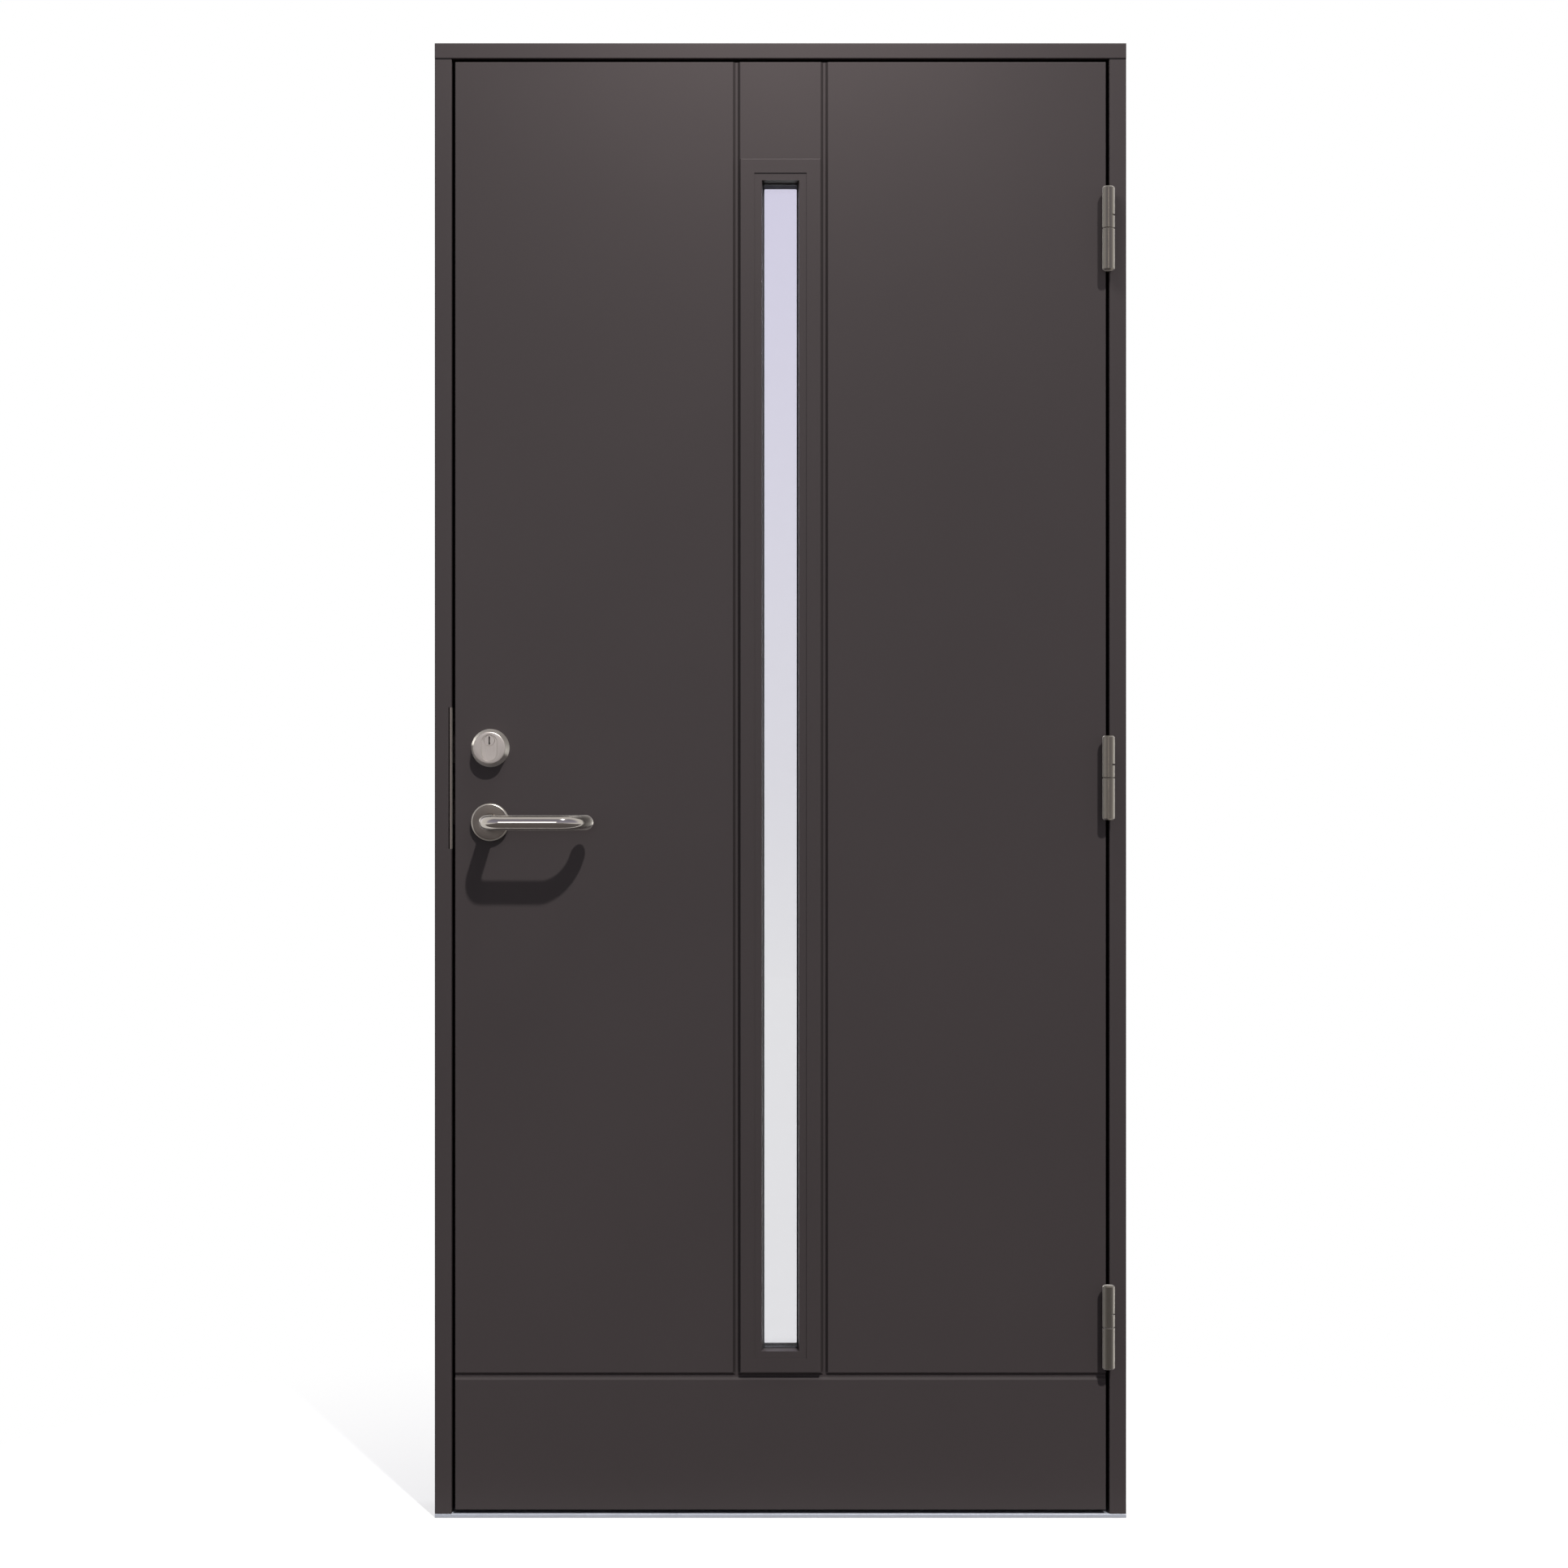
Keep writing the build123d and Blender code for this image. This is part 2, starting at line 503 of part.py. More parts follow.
# Oval lock cylinder through the leaf, its two tapered rings and the turning key plug
for name, face_y, toward in (
    ("outer_cylinder_ring", Y_FRONT, 1),
    ("inner_cylinder_ring", Y_LEAF_BACK, -1),
):
    plane = front_plane(face_y) if toward > 0 else back_plane(face_y)
    with BuildPart() as ring:
        with BuildSketch(plane):
            with Locations((toward * LOCK_X, CYLINDER_Z)):
                Circle(RING_BASE_D / 2)
        with BuildSketch(plane.offset(RING_H)):
            with Locations((toward * LOCK_X, CYLINDER_Z)):
                Circle(RING_FRONT_D / 2)
        loft()
        fillet(ring.faces().sort_by(Axis.Y)[0 if toward > 0 else -1].edges(), EDGE_R)
        with BuildSketch(plane):
            with Locations((toward * LOCK_X, CYLINDER_Z)):
                SlotOverall(OVAL_H, OVAL_W, rotation=90)
        extrude(amount=RING_H, mode=Mode.SUBTRACT)
    save(ring.part, name)

Y_CYLINDER_FRONT = Y_FRONT - RING_H + OVAL_RECESS
Y_CYLINDER_BACK = Y_LEAF_BACK + RING_H - OVAL_RECESS
with BuildPart() as lock_cylinder:
    with BuildSketch(front_plane(Y_CYLINDER_FRONT)):
        with Locations((LOCK_X, CYLINDER_Z)):
            SlotOverall(OVAL_H, OVAL_W, rotation=90)
    extrude(amount=-(Y_CYLINDER_BACK - Y_CYLINDER_FRONT))
    chamfer(lock_cylinder.faces().sort_by(Axis.Y)[0].edges(), OVAL_BEVEL)
    chamfer(lock_cylinder.faces().sort_by(Axis.Y)[-1].edges(), OVAL_BEVEL)
    with BuildSketch(front_plane(Y_CYLINDER_FRONT)):
        with Locations((LOCK_X, PLUG_Z)):
            Circle(PLUG_D / 2 + PLUG_CLEAR)
    extrude(amount=-PLUG_L - PLUG_CLEAR, mode=Mode.SUBTRACT)
    with BuildSketch(front_plane(Y_CYLINDER_BACK)):
        with Locations((LOCK_X, PLUG_Z)):
            Rectangle(KEYWAY_W, KEYWAY_H)
    extrude(amount=KEYWAY_DEPTH, mode=Mode.SUBTRACT)
save(lock_cylinder.part, "lock_cylinder")

with BuildPart() as key_plug:
    with BuildSketch(front_plane(Y_CYLINDER_FRONT)):
        with Locations((LOCK_X, PLUG_Z)):
            Circle(PLUG_D / 2)
    extrude(amount=-PLUG_L)
    chamfer(key_plug.faces().sort_by(Axis.Y)[0].edges(), PLUG_BEVEL)
    with BuildSketch(front_plane(Y_CYLINDER_FRONT)):
        with Locations((LOCK_X, PLUG_Z)):
            Rectangle(KEYWAY_W, KEYWAY_H)
    extrude(amount=-KEYWAY_DEPTH, mode=Mode.SUBTRACT)
save(key_plug.part, "key_plug")

# Lever roses, levers and the square spindle that joins the levers through the leaf
for name, face_y, toward in (("outer_lever_rose", Y_FRONT, 1), ("inner_lever_rose", Y_LEAF_BACK, -1)):
    plane = front_plane(face_y) if toward > 0 else back_plane(face_y)
    with BuildPart() as rose:
        with BuildSketch(plane):
            with Locations((toward * LOCK_X, LEVER_Z)):
                Circle(ROSE_D / 2)
        extrude(amount=ROSE_H)
        chamfer(rose.faces().sort_by(Axis.Y)[0 if toward > 0 else -1].edges(), ROSE_BEVEL)
        with BuildSketch(plane):
            with Locations((toward * LOCK_X, LEVER_Z)):
                Circle(LEVER_D / 2 + LEVER_CLEAR)
        extrude(amount=ROSE_H, mode=Mode.SUBTRACT)
    save(rose.part, name)

GRIP_END_X = LOCK_X + LEVER_REACH - LEVER_D / 2 - RETURN_BEND_R
for name, face_y, toward in (("outer_lever", Y_FRONT, 1), ("inner_lever", Y_LEAF_BACK, -1)):
    y_start = face_y - toward * NECK_START
    y_grip = face_y - toward * GRIP_OUT
    with BuildPart() as lever:
        with BuildLine(Plane.XY.offset(LEVER_Z)) as lever_path:
            Line((LOCK_X, y_start), (LOCK_X, y_grip + toward * NECK_BEND_R))
            JernArc(start=(LOCK_X, y_grip + toward * NECK_BEND_R), tangent=(0, -toward),
                    radius=NECK_BEND_R, arc_size=toward * 90)
            Line((LOCK_X + NECK_BEND_R, y_grip), (GRIP_END_X, y_grip))
            JernArc(start=(GRIP_END_X, y_grip), tangent=(1, 0),
                    radius=RETURN_BEND_R, arc_size=toward * 90)
            tip_leg = Line((GRIP_END_X + RETURN_BEND_R, y_grip + toward * RETURN_BEND_R),
                           (GRIP_END_X + RETURN_BEND_R, y_grip + toward * (RETURN_BEND_R + TIP_LEG)))
        with BuildSketch(Plane(origin=(LOCK_X, y_start, LEVER_Z), z_dir=(0, -toward, 0))):
            Circle(LEVER_D / 2)
        sweep(path=lever_path.line)
        with Locations(tip_leg @ 1):
            Sphere(LEVER_D / 2)
        socket_y = y_start - toward * SPINDLE_SOCKET / 2
        with Locations((LOCK_X, socket_y, LEVER_Z)):
            Box(SPINDLE, SPINDLE_SOCKET, SPINDLE, mode=Mode.SUBTRACT)
    save(lever.part, name)

with BuildPart() as spindle:
    y_out = Y_FRONT - NECK_START - SPINDLE_SOCKET
    y_in = Y_LEAF_BACK + NECK_START + SPINDLE_SOCKET
    with Locations((LOCK_X, (y_out + y_in) / 2, LEVER_Z)):
        Box(SPINDLE, y_in - y_out, SPINDLE)
save(spindle.part, "spindle")
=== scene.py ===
import json
import math

import bpy
import numpy as np
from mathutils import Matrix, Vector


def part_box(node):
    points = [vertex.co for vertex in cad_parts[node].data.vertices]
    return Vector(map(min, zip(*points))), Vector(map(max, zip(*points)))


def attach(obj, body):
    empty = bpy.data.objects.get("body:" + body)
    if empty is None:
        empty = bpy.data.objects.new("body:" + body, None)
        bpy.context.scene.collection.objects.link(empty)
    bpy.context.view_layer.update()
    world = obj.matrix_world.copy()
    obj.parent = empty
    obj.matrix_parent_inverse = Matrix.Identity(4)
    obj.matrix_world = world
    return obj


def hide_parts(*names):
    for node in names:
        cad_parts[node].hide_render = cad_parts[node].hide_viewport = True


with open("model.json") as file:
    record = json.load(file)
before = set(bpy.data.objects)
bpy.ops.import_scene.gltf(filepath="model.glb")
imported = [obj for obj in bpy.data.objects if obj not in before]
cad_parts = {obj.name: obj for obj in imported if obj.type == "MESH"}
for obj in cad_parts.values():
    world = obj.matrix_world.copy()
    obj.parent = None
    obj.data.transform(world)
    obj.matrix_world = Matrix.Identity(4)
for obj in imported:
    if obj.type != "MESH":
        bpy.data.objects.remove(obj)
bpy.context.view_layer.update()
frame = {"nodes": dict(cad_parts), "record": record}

nodes = frame["nodes"]

# Places in metres: X to the hinge side, Y into the wall, Z up.
FACE_Y = -0.0525
LEAF_BACK_Y = 0.0095
LEAF_MID_Y = (FACE_Y + LEAF_BACK_Y) / 2
STOP_Y = 0.0145
LOCK_X = -0.411
LEVER_Z = 0.986
CYLINDER_Z = 1.091
GROOVE_X = 0.0622
GROOVE_FLANK = (0.0017, 0.0052)
GROOVE_FOOT_Z = 0.2062
HINGE_X = 0.4635
HINGE_Y = -0.0655
HINGE_SEAMS = (0.2725, 1.04875, 1.825)


# Meshes

def outline_faces(count, around, wrap):
    """Quads between stacked closed outlines: point j of outline i joins point j+1 and the same two of
    outline i+1, and with wrap the last outline joins the first. Corners come back as (i, j) pairs."""
    i, j = np.meshgrid(np.arange(count if wrap else count - 1), np.arange(around), indexing="ij")
    i, j = i.ravel(), j.ravel()
    rows = np.stack([i, i, i + 1, i + 1], axis=1)
    columns = np.stack([j, j + 1, j + 1, j], axis=1)
    return rows, columns


def closed_skin(outlines, ends="wrap", centres=None):
    """Points, face arrays and corner UVs of the skin over stacked outlines, shape (outlines, around, 3).
    ends: "wrap" joins last to first; "points" closes both ends with a fan about their middles (or the
    two given centres). U runs around the outline and V along the stack, both in metres."""
    count, around = outlines.shape[:2]
    rows, columns = outline_faces(count, around, ends == "wrap")
    steps_u = np.linalg.norm(np.roll(outlines, -1, axis=1) - outlines, axis=2).mean(axis=0)
    u = np.concatenate([[0.0], np.cumsum(steps_u)])
    steps_v = np.linalg.norm(np.roll(outlines, -1, axis=0) - outlines, axis=2).mean(axis=1)
    v = np.concatenate([[0.0], np.cumsum(steps_v)])
    points = outlines.reshape(-1, 3)
    faces = [(rows % count) * around + columns % around]
    uv = [np.stack([u[columns], v[rows]], axis=-1)]
    if ends == "points":
        middles = outlines[[0, -1]].mean(axis=1) if centres is None else np.asarray(centres)
        points = np.vstack([points, middles])
        j = np.arange(around)
        following = (j + 1) % around
        last_row = (count - 1) * around
        first_hub, last_hub = np.full(around, count * around), np.full(around, count * around + 1)
        faces.append(np.stack([first_hub, following, j], axis=1))
        faces.append(np.stack([last_hub, last_row + j, last_row + following], axis=1))
        for height, order in ((v[0], (0.5, 1, 0)), (v[count - 1], (0.5, 0, 1))):
            corner_u = np.stack([u[j] + (u[j + 1] - u[j]) * step for step in order], axis=1)
            uv.append(np.stack([corner_u, np.full_like(corner_u, height)], axis=-1))
    return points, faces, uv


def signed_volume(points, faces):
    """Six times the volume inside the face arrays: the sum over fans of a . (b x c), which is positive
    if the faces point out."""
    total = 0.0
    for corners in faces:
        a = points[corners[:, 0]]
        for k in range(1, corners.shape[1] - 1):
            b, c = points[corners[:, k]], points[corners[:, k + 1]]
            total += np.einsum("ij,ij->", a, np.cross(b, c))
    return total


def add_piece(name, skin, finish, body, stands_for=(), sharp_deg=32.0, places=((0.0, 0.0, 0.0),)):
    """A piece from (points, face arrays, UVs), turned to face outwards, repeated at each of places, smooth
    but for edges sharper than sharp_deg, riding on a body."""
    points, faces, uv = skin
    if signed_volume(points - points.mean(axis=0), faces) < 0:
        faces = [corners[:, ::-1] for corners in faces]
        uv = [corners[:, ::-1] for corners in uv]
    copies = [corners + k * len(points) for k in range(len(places)) for corners in faces]
    all_points = (np.asarray(places)[:, None, :] + points).reshape(-1, 3)
    all_uv = np.tile(np.vstack([corners.reshape(-1, 2) for corners in uv]), (len(places), 1))
    mesh = bpy.data.meshes.new(name)
    mesh.from_pydata(all_points.tolist(), [], sum((corners.tolist() for corners in copies), []))
    layer = mesh.uv_layers.new(name="UVMap")
    layer.data.foreach_set("uv", all_uv.astype(np.float32).ravel())
    mesh.polygons.foreach_set("use_smooth", np.ones(len(mesh.polygons), dtype=bool))
    mesh.set_sharp_from_angle(angle=math.radians(sharp_deg))
    mesh.materials.append(finish)
    mesh.update()
    piece = bpy.data.objects.new(name, mesh)
    bpy.context.scene.collection.objects.link(piece)
    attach(piece, body)
    if stands_for:
        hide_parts(*stands_for)
    return piece


def turned_outlines(profile, centre, axis, around=96):
    """Profile of (radius, height) turned about an axis: centre + height * axis + radius * (cos t, sin t)
    in the plane across the axis."""
    profile = np.asarray(profile, dtype=float)
    axis = np.asarray(axis, dtype=float)
    side = np.array([1.0, 0.0, 0.0])
    across = np.cross(axis, side)
    t = np.linspace(0.0, 2 * math.pi, around, endpoint=False)
    ring = np.cos(t)[:, None] * side + np.sin(t)[:, None] * across
    return np.asarray(centre) + profile[:, 1, None, None] * axis + profile[:, 0, None, None] * ring


def round_corners(corners, radius, steps=5, longest=0.45):
    """Closed profile with each corner rounded: a quadratic curve with the corner as its middle control
    point, from radius before it to radius after it, but at most the longest share of a side."""
    corners = np.asarray(corners, dtype=float)
    back, ahead = np.roll(corners, 1, axis=0) - corners, np.roll(corners, -1, axis=0) - corners
    back_length = np.linalg.norm(back, axis=1)[:, None]
    ahead_length = np.linalg.norm(ahead, axis=1)[:, None]
    reach = np.minimum(radius, longest * np.minimum(back_length, ahead_length))
    start = corners + reach * back / back_length
    end = corners + reach * ahead / ahead_length
    t = np.linspace(0.0, 1.0, steps)[None, :, None]
    curve = (1 - t) ** 2 * start[:, None] + 2 * t * (1 - t) * corners[:, None] + t ** 2 * end[:, None]
    return curve.reshape(-1, corners.shape[1])


# Finishes

def new_finish(name):
    """Empty material with one Principled shader on its output."""
    material = bpy.data.materials.new(name)
    material.use_nodes = True
    tree = material.node_tree
    tree.nodes.clear()
    output = tree.nodes.new("ShaderNodeOutputMaterial")
    shader = tree.nodes.new("ShaderNodeBsdfPrincipled")
    tree.links.new(shader.outputs["BSDF"], output.inputs["Surface"])
    return material, tree, shader


def add_node(tree, kind, values=None, **settings):
    """Node with its settings and unlinked input values."""
    made = tree.nodes.new(kind)
    for key, value in settings.items():
        setattr(made, key, value)
    for key, value in (values or {}).items():
        made.inputs[key].default_value = value
    return made


def stretched_noise(tree, source, scale, stretch=(1.0, 1.0, 1.0), detail=3.0):
    """Noise over the source coordinates, stretched per axis."""
    coordinates = add_node(tree, "ShaderNodeTexCoord")
    mapping = add_node(tree, "ShaderNodeMapping", {"Scale": stretch})
    noise = add_node(tree, "ShaderNodeTexNoise", {"Scale": scale, "Detail": detail})
    tree.links.new(coordinates.outputs[source], mapping.inputs["Vector"])
    tree.links.new(mapping.outputs["Vector"], noise.inputs["Vector"])
    return noise.outputs["Fac"]


def cell_distance(tree, **values):
    """Distance from the middles of the cells over the Object coordinates."""
    coordinates = add_node(tree, "ShaderNodeTexCoord")
    cells = add_node(tree, "ShaderNodeTexVoronoi", values)
    tree.links.new(coordinates.outputs["Object"], cells.inputs["Vector"])
    return cells.outputs["Distance"]


def split_coordinates(tree, source):
    """The source coordinates as three numbers."""
    coordinates = add_node(tree, "ShaderNodeTexCoord")
    split = add_node(tree, "ShaderNodeSeparateXYZ")
    tree.links.new(coordinates.outputs[source], split.inputs["Vector"])
    return split.outputs


def combined(tree, operation, first, second):
    """One number from two, such as their product or the larger."""
    made = add_node(tree, "ShaderNodeMath", operation=operation)
    tree.links.new(first, made.inputs[0])
    tree.links.new(second, made.inputs[1])
    return made.outputs["Value"]


def two_colours(tree, factor, low, high, start=0.3, end=0.7):
    """Colour that runs from low to high as the factor goes from start to end."""
    ramp = add_node(tree, "ShaderNodeValToRGB")
    ramp.color_ramp.elements[0].position = start
    ramp.color_ramp.elements[0].color = (*low, 1.0)
    ramp.color_ramp.elements[1].position = end
    ramp.color_ramp.elements[1].color = (*high, 1.0)
    tree.links.new(factor, ramp.inputs["Fac"])
    return ramp.outputs["Color"]


def number_range(tree, factor, low, high, start=0.3, end=0.7):
    """Number that runs from low to high as the factor goes from start to end."""
    made = add_node(tree, "ShaderNodeMapRange",
                    {"From Min": start, "From Max": end, "To Min": low, "To Max": high})
    tree.links.new(factor, made.inputs["Value"])
    return made.outputs["Result"]


def bumps(tree, shader, height, depth, strength):
    """Surface bumps from a height on the shader's normal."""
    bump = add_node(tree, "ShaderNodeBump", {"Strength": strength, "Distance": depth})
    tree.links.new(height, bump.inputs["Height"])
    tree.links.new(bump.outputs["Normal"], shader.inputs["Normal"])


def satin_paint(name, colour, spread=0.03, smooth=0.36, rough=0.39):
    """Sprayed satin paint: faint cloudy colour, uneven sheen and fine orange peel."""
    material, tree, shader = new_finish(name)
    colour = np.asarray(colour)
    clouds = stretched_noise(tree, "Object", scale=3.0, detail=4.0)
    tree.links.new(two_colours(tree, clouds, colour * (1 - spread), colour * (1 + spread)),
                   shader.inputs["Base Color"])
    patches = stretched_noise(tree, "Object", scale=28.0, detail=5.0)
    tree.links.new(number_range(tree, patches, smooth, rough), shader.inputs["Roughness"])
    peel = stretched_noise(tree, "Object", scale=520.0, detail=2.0)
    bumps(tree, shader, peel, depth=0.0002, strength=0.12)
    shader.inputs["Specular IOR Level"].default_value = 0.13
    return material


def brushed_steel(name, dark, pale, smooth, rough, source, stretch, sheen, depth=0.00004,
                  sheen_spread=0.4):
    """Satin steel: fine lines along the brushing, with colour and bumps that follow them, patchy roughness
    and a pale sheen where it turns away."""
    material, tree, shader = new_finish(name)
    shader.inputs["Metallic"].default_value = 1.0
    lines = stretched_noise(tree, source, scale=60.0, stretch=stretch, detail=6.0)
    tree.links.new(two_colours(tree, lines, dark, pale), shader.inputs["Base Color"])
    patches = stretched_noise(tree, source, scale=45.0, detail=4.0)
    tree.links.new(number_range(tree, patches, smooth, rough), shader.inputs["Roughness"])
    bumps(tree, shader, lines, depth, strength=0.25)
    shader.inputs["Sheen Weight"].default_value = sheen
    shader.inputs["Sheen Roughness"].default_value = sheen_spread
    shader.inputs["Sheen Tint"].default_value = (1.0, 0.95, 0.85, 1.0)
    return material


def within(tree, value, span, blend):
    """1 while the value lies in the span, running down to 0 over the blend on either side."""
    low, high = span
    return combined(tree, "MULTIPLY", number_range(tree, value, 0.0, 1.0, low - blend, low),
                    number_range(tree, value, 1.0, 0.0, high, high + blend))


def distance(tree, value, place):
    """Distance of a value from a place: |value - place|."""
    apart = add_node(tree, "ShaderNodeMath", {1: place}, operation="SUBTRACT")
    size = add_node(tree, "ShaderNodeMath", operation="ABSOLUTE")
    tree.links.new(value, apart.inputs[0])
    tree.links.new(apart.outputs["Value"], size.inputs[0])
    return size.outputs["Value"]


def recolour(material, share, colour, blend_type="MIX"):
    """Mix another colour into the material's own where the share is 1."""
    tree = material.node_tree
    shader = next(n for n in tree.nodes if n.type == "BSDF_PRINCIPLED")
    own = shader.inputs["Base Color"].links[0].from_socket
    mix = add_node(tree, "ShaderNodeMix", {"B": (*colour, 1.0)}, data_type="RGBA", blend_type=blend_type)
    tree.links.new(share, mix.inputs["Factor"])
    tree.links.new(own, mix.inputs["A"])
    tree.links.new(mix.outputs["Result"], shader.inputs["Base Color"])


def painted_rim_highlight(material, colour, span, blend=0.0003):
    """Painted highlight on the chamfer of a turned piece: a pale colour between two distances V along the
    profile.
    """
    tree = material.node_tree
    along = split_coordinates(tree, "UV")["Y"]
    recolour(material, within(tree, along, span, blend), colour)


def painted_groove_shade(material, colour, blend=0.0002):
    """Painted shade on the flanks of the upright grooves: the colour is multiplied above the grooves' foot
    where the distance from a groove's middle lies in the flank, darkening the flanks as shade would."""
    tree = material.node_tree
    place = split_coordinates(tree, "Object")
    off_middle = distance(tree, distance(tree, place["X"], 0.0), GROOVE_X)
    above_foot = number_range(tree, place["Z"], 0.0, 1.0, GROOVE_FOOT_Z, GROOVE_FOOT_Z + blend)
    on_flank = within(tree, off_middle, GROOVE_FLANK, blend)
    recolour(material, combined(tree, "MULTIPLY", on_flank, above_foot), colour, "MULTIPLY")


def dark_joint(material, height, depth, colour, blend=0.0002):
    """Dark filler in a butt joint: the colour over the last depth below a height."""
    tree = material.node_tree
    level = split_coordinates(tree, "Object")["Z"]
    recolour(material, within(tree, level, (height - depth, height + depth), blend), colour)


# Paint
DOOR_GREY = (0.0397, 0.0331, 0.0326)
CASSETTE_GREY = np.array(DOOR_GREY) * 0.98
GROOVE_SHADE_SHARE = (0.62, 0.62, 0.62)
JOINT_FILLER = (0.006, 0.005, 0.005)
JOINT_DEPTH = 0.0014
leaf_paint = satin_paint("leaf_paint", DOOR_GREY)
skin_paint = satin_paint("skin_paint", DOOR_GREY)
# Painted shade: the flanks of the upright grooves are darkened in the skin's colour
painted_groove_shade(skin_paint, GROOVE_SHADE_SHARE)
frame_paint = satin_paint("frame_paint", DOOR_GREY, smooth=0.35, rough=0.38)
jamb_paint = satin_paint("jamb_paint", DOOR_GREY, smooth=0.35, rough=0.38)
dark_joint(jamb_paint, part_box("latch_jamb")[1].z, JOINT_DEPTH, JOINT_FILLER)
cassette_paint = satin_paint("cassette_paint", CASSETTE_GREY, smooth=0.34, rough=0.37)

# Steel: the colours of the brushed lines, and the stretch that lays the lines
LEVER_DARK, LEVER_PALE = (0.43, 0.395, 0.36), (0.53, 0.49, 0.445)
HINGE_DARK, HINGE_PALE = (0.115, 0.098, 0.078), (0.145, 0.125, 0.100)
ROSE_DARK, ROSE_PALE = (0.123, 0.106, 0.092), (0.160, 0.139, 0.121)
LOCK_DARK, LOCK_PALE = (0.47, 0.425, 0.38), (0.56, 0.51, 0.46)
PLATE_DARK, PLATE_PALE = (0.195, 0.166, 0.144), (0.255, 0.219, 0.190)
# Painted highlight on the rose's chamfer: its pale colour and its span along the profile
ROSE_RIM_HIGHLIGHT = (0.56, 0.52, 0.46)
ROSE_HIGHLIGHT_SPAN = (0.0226, 0.0258)
UP_THE_PLATE = (60.0, 60.0, 1.0)
UP_THE_FACE = (60.0, 1.0, 1.0)
ALONG_THE_TUBE = (60.0, 1.0, 1.0)
AROUND_THE_TURN = (1.0, 60.0, 1.0)
plate_steel = brushed_steel("plate_steel", PLATE_DARK, PLATE_PALE, smooth=0.42, rough=0.52,
                            source="Object", stretch=UP_THE_PLATE, sheen=0.05)
hinge_steel = brushed_steel("hinge_steel", HINGE_DARK, HINGE_PALE, smooth=0.12, rough=0.17,
                            source="Object", stretch=UP_THE_PLATE, sheen=1.0, sheen_spread=0.52)
ring_steel = brushed_steel("ring_steel", LOCK_DARK, LOCK_PALE, smooth=0.38, rough=0.46,
                           source="UV", stretch=AROUND_THE_TURN, sheen=1.0)
rose_steel = brushed_steel("rose_steel", ROSE_DARK, ROSE_PALE, smooth=0.28, rough=0.36,
                           source="UV", stretch=AROUND_THE_TURN, sheen=0.7)
# Painted highlight: a pale band on the rose's chamfer
painted_rim_highlight(rose_steel, ROSE_RIM_HIGHLIGHT, ROSE_HIGHLIGHT_SPAN)
lock_steel = brushed_steel("lock_steel", LOCK_DARK, LOCK_PALE, smooth=0.30, rough=0.38,
                           source="Object", stretch=UP_THE_FACE, sheen=0.1)
lever_steel = brushed_steel("lever_steel", LEVER_DARK, LEVER_PALE, smooth=0.07, rough=0.11,
                            source="UV", stretch=ALONG_THE_TUBE, sheen=0.9, depth=0.000005)

# Sill, seals, spacers, core and glass
SILL_DARK, SILL_PALE = (0.30, 0.315, 0.345), (0.37, 0.385, 0.42)
BOARD_DARK, BOARD_PALE = (0.155, 0.078, 0.036), (0.285, 0.158, 0.078)
RUBBER_BLACK, RUBBER_BLOOM = (0.012, 0.012, 0.013), (0.024, 0.023, 0.023)
SPACER_HOLE, SPACER_GREY = (0.006, 0.006, 0.006), (0.030, 0.030, 0.031)
FOAM_CELL, FOAM_WALL = (0.80, 0.74, 0.58), (0.62, 0.56, 0.42)
GLASS_TINT = (0.915, 0.915, 0.925, 1.0)
GLASS_SHADOW = (0.93, 0.93, 0.95, 1.0)
GLASS_IOR = 1.45


def anodised_sill():
    """Anodised metal with rolling lines along the sill and scuffed sheen."""
    material, tree, shader = new_finish("anodised_sill")
    shader.inputs["Metallic"].default_value = 0.35
    lines = stretched_noise(tree, "Object", scale=60.0, stretch=(0.6, 30.0, 30.0), detail=5.0)
    tree.links.new(two_colours(tree, lines, SILL_DARK, SILL_PALE), shader.inputs["Base Color"])
    scuffs = stretched_noise(tree, "Object", scale=18.0, detail=6.0)
    tree.links.new(number_range(tree, scuffs, low=0.32, high=0.50), shader.inputs["Roughness"])
    bumps(tree, shader, lines, depth=0.00005, strength=0.2)
    return material


def oiled_board():
    """Oiled hardwood: long grain bands along the board and short dark pores."""
    material, tree, shader = new_finish("oiled_board")
    bands = stretched_noise(tree, "Object", scale=6.0, stretch=(1.0, 22.0, 22.0), detail=5.0)
    tree.links.new(two_colours(tree, bands, BOARD_DARK, BOARD_PALE), shader.inputs["Base Color"])
    pores = stretched_noise(tree, "Object", scale=40.0, stretch=(1.0, 30.0, 30.0), detail=3.0)
    tree.links.new(number_range(tree, pores, low=0.38, high=0.62), shader.inputs["Roughness"])
    bumps(tree, shader, pores, depth=0.0002, strength=0.3)
    return material


def black_rubber():
    """Matt black rubber with a dusty bloom and a fine skin."""
    material, tree, shader = new_finish("black_rubber")
    bloom = stretched_noise(tree, "Object", scale=35.0, detail=5.0)
    tree.links.new(two_colours(tree, bloom, RUBBER_BLACK, RUBBER_BLOOM), shader.inputs["Base Color"])
    tree.links.new(number_range(tree, bloom, low=0.58, high=0.74), shader.inputs["Roughness"])
    skin = stretched_noise(tree, "Object", scale=700.0, detail=2.0)
    bumps(tree, shader, skin, depth=0.0001, strength=0.2)
    shader.inputs["Specular IOR Level"].default_value = 0.25
    return material


def spacer_bar():
    """Dark spacer bar with rows of small breathing holes."""
    material, tree, shader = new_finish("spacer_bar")
    holes = cell_distance(tree, Scale=420.0, Randomness=0.0)
    tree.links.new(two_colours(tree, holes, SPACER_HOLE, SPACER_GREY, start=0.16, end=0.22),
                   shader.inputs["Base Color"])
    patches = stretched_noise(tree, "Object", scale=60.0)
    tree.links.new(number_range(tree, patches, low=0.45, high=0.6), shader.inputs["Roughness"])
    shader.inputs["Specular IOR Level"].default_value = 0.2
    return material


